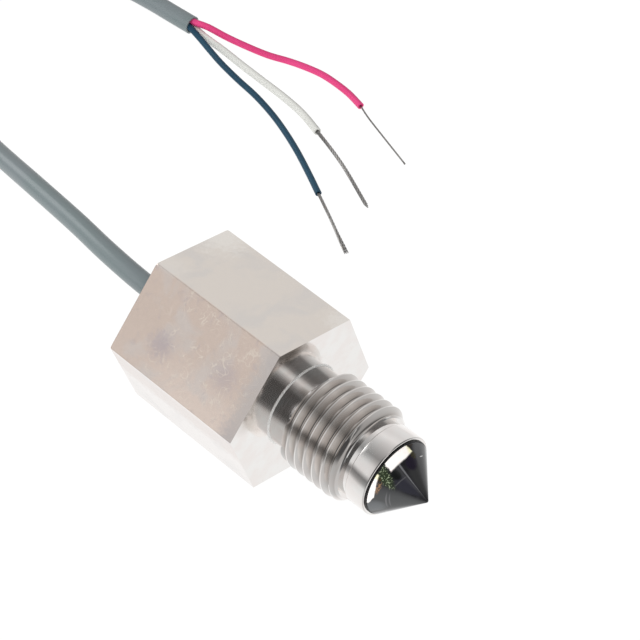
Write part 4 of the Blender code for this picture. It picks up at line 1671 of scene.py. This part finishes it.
def wires() -> list[Wire]:
    """The red, white and blue wire, with their given routes.

    Returns:
        The three wires.
    """
    red = Wire(
        core=Core.RED,
        finish=Moulded(
            "red_insulation", rgb(0.82, 0.068, 0.25), rgb(0.77, 0.055, 0.215), 0.36, 1.5, 0.001, gloss=0.25
        ),
        length=0.034,
        diameter=0.0011,
        angle_deg=75.0,
        route=(
            (0.0617, 0.0797, 0.0023),
            (0.0630, 0.0766, 0.0017),
            (0.0647, 0.0733, 0.0011),
            (0.0664, 0.0702, 0.00068),
            (0.0681, 0.0675, 0.00057),
            (0.0693, 0.0647, 0.00057),
            (0.0701, 0.0618, 0.00057),
            (0.0702, 0.0589, 0.00057),
            (0.0699, 0.0556, 0.00057),
            (0.0690, 0.0521, 0.00057),
        ),
        bare_route=((0.0680, 0.0494, 0.0003), (0.0664, 0.0447, 0.00017), (0.0639, 0.0377, 0.00017)),
        bare_diameter=0.00028,
        lay_length=0.0042,
    )
    white = Wire(
        core=Core.WHITE,
        finish=Moulded(
            "white_insulation", rgb(0.80, 0.80, 0.76), rgb(0.77, 0.77, 0.73), 0.5, 1.5, 0.0, gloss=0.0
        ),
        length=0.0332,
        diameter=0.0012,
        angle_deg=306.0,
        route=(
            (0.0611, 0.0797, 0.00075),
            (0.0611, 0.0753, 0.00062),
            (0.0607, 0.0704, 0.00062),
            (0.0604, 0.0656, 0.00062),
            (0.0601, 0.0606, 0.00062),
            (0.0594, 0.0558, 0.00062),
            (0.0579, 0.0509, 0.00062),
        ),
        bare_route=((0.0565, 0.0462, 0.00035), (0.0545, 0.0413, 0.00032), (0.0506, 0.0333, 0.00032)),
        bare_diameter=0.0006,
        lay_length=0.0044,
    )
    blue = Wire(
        core=Core.BLUE,
        finish=Moulded(
            "blue_insulation", rgb(0.016, 0.058, 0.10), rgb(0.02, 0.07, 0.115), 0.36, 1.5, 0.001, gloss=0.15
        ),
        length=0.0468,
        diameter=0.001,
        angle_deg=185.0,
        route=(
            (0.0599, 0.0797, 0.0010),
            (0.0592, 0.0765, 0.0007),
            (0.0583, 0.0728, 0.00055),
            (0.0574, 0.0682, 0.00052),
            (0.0566, 0.0632, 0.00052),
            (0.0553, 0.0583, 0.00052),
            (0.0536, 0.0537, 0.00052),
            (0.0514, 0.0488, 0.00052),
            (0.0488, 0.0438, 0.00052),
            (0.0465, 0.0396, 0.00052),
        ),
        bare_route=(
            (0.0450, 0.0366, 0.0003),
            (0.0434, 0.0337, 0.00027),
            (0.0416, 0.0306, 0.00027),
            (0.0397, 0.0272, 0.00027),
        ),
        bare_diameter=0.0005,
        lay_length=0.0046,
        splay=0.8,
    )
    return [red, white, blue]


# What the housing holds


@dataclass
class Inside:
    """The CAD nodes that stay as they are, with their finishes."""

    chip_black: Colour = rgb(0.018, 0.018, 0.02)
    tan: Colour = rgb(0.42, 0.28, 0.16)
    glaze: Colour = rgb(0.02, 0.02, 0.024)
    end_cap_share: float = 0.2
    lens_length: float = 4.3
    lens_roughness: float = 0.08

    def finishes(self) -> dict[str, Finish]:
        """A finish for each node.

        Returns:
            The finishes by their nodes' names.
        """
        found: dict[str, Finish] = {"optics_holder": HOLDER}
        found["circuit_board"] = Board("solder_resist", node_box("circuit_board")[1].z / MM)
        found["emitter"] = self._lens("emitter", rgb(0.55, 0.60, 0.66))
        found["receiver"] = self._lens("receiver", rgb(0.03, 0.025, 0.045))
        for node, body_width in (
            ("comparator_chip", 3.9),
            ("voltage_regulator", 1.3),
            ("output_transistor", 1.3),
        ):
            low, high = node_box(node)
            middle = (low.x + high.x) / 2 / MM
            found[node] = Component(node + "_finish", self.chip_black, Axis.X, middle, body_width / 2)
        for node, body in (
            ("protection_diode", self.chip_black),
            ("supply_capacitor", self.tan),
            ("filter_capacitor", self.tan),
            ("emitter_resistor", self.glaze),
            ("receiver_resistor", self.glaze),
        ):
            low, high = node_box(node)
            middle = (low.y + high.y) / 2 / MM
            half_body = (high.y - low.y) / MM * (0.5 - self.end_cap_share)
            found[node] = Component(node + "_finish", body, Axis.Y, middle, half_body)
        for node, colour in (
            ("supply_core", rgb(0.70, 0.04, 0.17)),
            ("output_core", rgb(0.80, 0.80, 0.76)),
            ("ground_core", rgb(0.014, 0.06, 0.11)),
        ):
            found[node] = Moulded(node + "_finish", colour, colour, 0.36)
        return found

    def _lens(self, node: str, body: Colour) -> Finish:
        """The finish of a lens, with its two leads behind it."""
        front = node_box(node)[0].y / MM
        return Component(node + "_finish", body, Axis.Y, front, self.lens_length, self.lens_roughness)

    def dress(self) -> None:
        """Give each node its finish."""
        for node, finish in self.finishes().items():
            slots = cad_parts[node].data.materials
            slots.clear()
            slots.append(finish.material())
            LOG.info("%s: %s", node, finish.name)


# Studio


@dataclass
class Studio:
    """A white table in a soft studio, and the camera.

    The metal mirrors the studio, so its wall is bright behind the sensor's lead and dim round the camera.
    A small soft light behind the object puts a thin line of light on the lead.
    Angles run round the sensor's axis, from +X over the top.
    """

    view_from: tuple = (-0.194931, -0.145678, 0.215422)
    azimuth_deg: float = -53.273
    elevation_deg: float = 38.058
    roll_deg: float = 11.940
    lens: float = 140.625
    sensor_width: float = 36.0
    floor_half: float = 1.5
    floor_z: float = -0.00005
    table_glow: float = 0.955
    first_angle: float = -60.0
    cable_side: tuple = (
        (-60, 1.0), (-20, 1.0), (-2, 0.92), (6, 0.80), (24, 0.75), (44, 0.71), (64, 0.80), (84, 0.60),
        (100, 0.46), (118, 0.32), (126, 0.27), (137, 0.45), (144, 0.62), (150, 0.72), (164, 0.76),
        (172, 0.74), (180, 0.40), (186, 0.18), (198, 0.32), (210, 0.75), (235, 0.88), (300, 1.0),
    )  # fmt: skip
    camera_side: tuple = (
        (-60, 0.93), (-30, 0.88), (-8, 0.64), (6, 0.52), (16, 0.42), (28, 0.17), (66, 0.12), (78, 0.20),
        (86, 0.50), (94, 0.68), (102, 0.45), (112, 0.20), (126, 0.07), (182, 0.085), (196, 0.16),
        (206, 0.42), (214, 0.53), (260, 0.61), (276, 0.63), (290, 0.82), (300, 0.92),
    )  # fmt: skip
    sides_meet: float = 0.3
    soft_right: float = 0.04
    soft_left: float = 1.46
    back_light: tuple = (-0.30, 0.84, 0.455)
    back_level: float = 2.6
    back_edge: tuple = (0.94, 0.985)
    table_cloth: float = 0.12

    def build(self) -> None:
        """Build the table, the world and the camera."""
        self._camera()
        self._world()
        self._table()
        bpy.context.scene.view_settings.view_transform = "Standard"

    def _camera(self) -> None:
        """The camera at the photograph's viewing angle."""
        azimuth = math.radians(self.azimuth_deg)
        elevation = math.radians(self.elevation_deg)
        ahead = Vector((-math.sin(azimuth), math.cos(azimuth), 0.0)) * math.cos(elevation)
        ahead.z = -math.sin(elevation)
        level = ahead.cross(Vector((0, 0, 1))).normalized()
        upright = level.cross(ahead)
        roll = math.radians(self.roll_deg)
        right = math.cos(roll) * level + math.sin(roll) * upright
        up = math.cos(roll) * upright - math.sin(roll) * level
        data = bpy.data.cameras.new("camera")
        data.lens = self.lens
        data.sensor_width = self.sensor_width
        data.clip_start = 0.01
        camera = bpy.data.objects.new("camera", data)
        axes = Matrix((right, up, -ahead)).transposed().to_4x4()
        camera.matrix_world = Matrix.Translation(self.view_from) @ axes
        bpy.context.scene.collection.objects.link(camera)
        bpy.context.scene.camera = camera

    def _wall(self, graph: Graph, angle: Socket, levels: Sequence[tuple[float, float]]) -> Socket:
        """The studio's brightness round the sensor's axis.

        Args:
            graph: The world's graph.
            angle: Degrees from the first angle, 0 to 360.
            levels: Pairs of an angle and a brightness.

        Returns:
            The brightness.
        """
        stops = [((place - self.first_angle) / 360.0, neutral(level)) for place, level in levels]
        return graph.node("ShaderNodeValToRGB", {"stops": stops}, {"Fac": angle / 360.0})

    def _world(self) -> None:
        """White behind the object, a soft light from the left, and a wall that metal mirrors."""
        world = bpy.data.worlds.new("studio")
        world.use_nodes = True
        world.cycles.sampling_method = "NONE"
        bpy.context.scene.world = world
        graph = Graph(world.node_tree)
        x, y, z = graph.split(graph.node("ShaderNodeTexCoord", output="Generated"))
        turn = graph.node("ShaderNodeMath", {"operation": "ARCTAN2"}, {0: z, 1: x})
        angle = (turn * math.degrees(1.0) - self.first_angle) % 360.0
        ahead = self._wall(graph, angle, self.cable_side)
        behind = self._wall(graph, angle, self.camera_side)
        mirrored = graph.mix(y.rise(-self.sides_meet, self.sides_meet), behind, ahead)
        near_lamp = x * self.back_light[0] + y * self.back_light[1] + z * self.back_light[2]
        mirrored = graph.mix(near_lamp.rise(*self.back_edge), mirrored, neutral(self.back_level))
        soft = graph.mix((x * -1.0).rise(-1.0, 1.0), neutral(self.soft_right), neutral(self.soft_left))
        rays = graph.node("ShaderNodeLightPath", output="Is Camera Ray")
        kinds = rays.output.node.outputs
        glossy = Socket(graph, kinds["Is Glossy Ray"]).highest(Socket(graph, kinds["Is Transmission Ray"]))
        seen = graph.mix(glossy, soft, mirrored)
        seen = graph.mix(rays, seen, neutral(1.0))
        light = graph.node("ShaderNodeBackground", inputs={"Color": seen})
        graph.finish_with("ShaderNodeOutputWorld", light)

    def _table(self) -> None:
        """A white lit table, which keeps a faint shadow where the camera sees it."""
        material = bpy.data.materials.new("table_white")
        material.use_nodes = True
        graph = Graph(material.node_tree)
        rays = graph.node("ShaderNodeLightPath", output="Is Camera Ray")
        glow = graph.node("ShaderNodeEmission", inputs={"Color": neutral(1.0), "Strength": 1.0})
        faint = graph.node("ShaderNodeEmission", inputs={"Color": neutral(1.0), "Strength": self.table_glow})
        cloth = graph.node("ShaderNodeBsdfDiffuse", inputs={"Color": neutral(self.table_cloth)})
        seen = graph.node("ShaderNodeAddShader", inputs={0: faint, 1: cloth})
        surface = graph.node("ShaderNodeMixShader", inputs={0: rays, 1: glow, 2: seen})
        graph.finish_with("ShaderNodeOutputMaterial", surface)
        material.cycles.emission_sampling = "NONE"
        builder = bmesh.new()
        bmesh.ops.create_grid(builder, x_segments=1, y_segments=1, size=self.floor_half)
        bmesh.ops.translate(builder, vec=(0, 0, self.floor_z), verts=builder.verts)
        mesh = bpy.data.meshes.new("table")
        builder.to_mesh(mesh)
        builder.free()
        mesh.materials.append(material)
        table = bpy.data.objects.new("table", mesh)
        table.visible_glossy = False
        bpy.context.scene.collection.objects.link(table)


def main() -> None:
    """Build the studio and each piece, and report them."""
    logging.basicConfig(level=logging.INFO, format="%(name)s: %(message)s")
    Studio().build()
    lead = Lead()
    lead.build(Tie().build(lead))
    for wire in wires():
        wire.build()
    Housing().build()
    GlassTip().build()
    Potting().build()
    Inside().dress()


if __name__ == "__main__":
    main()
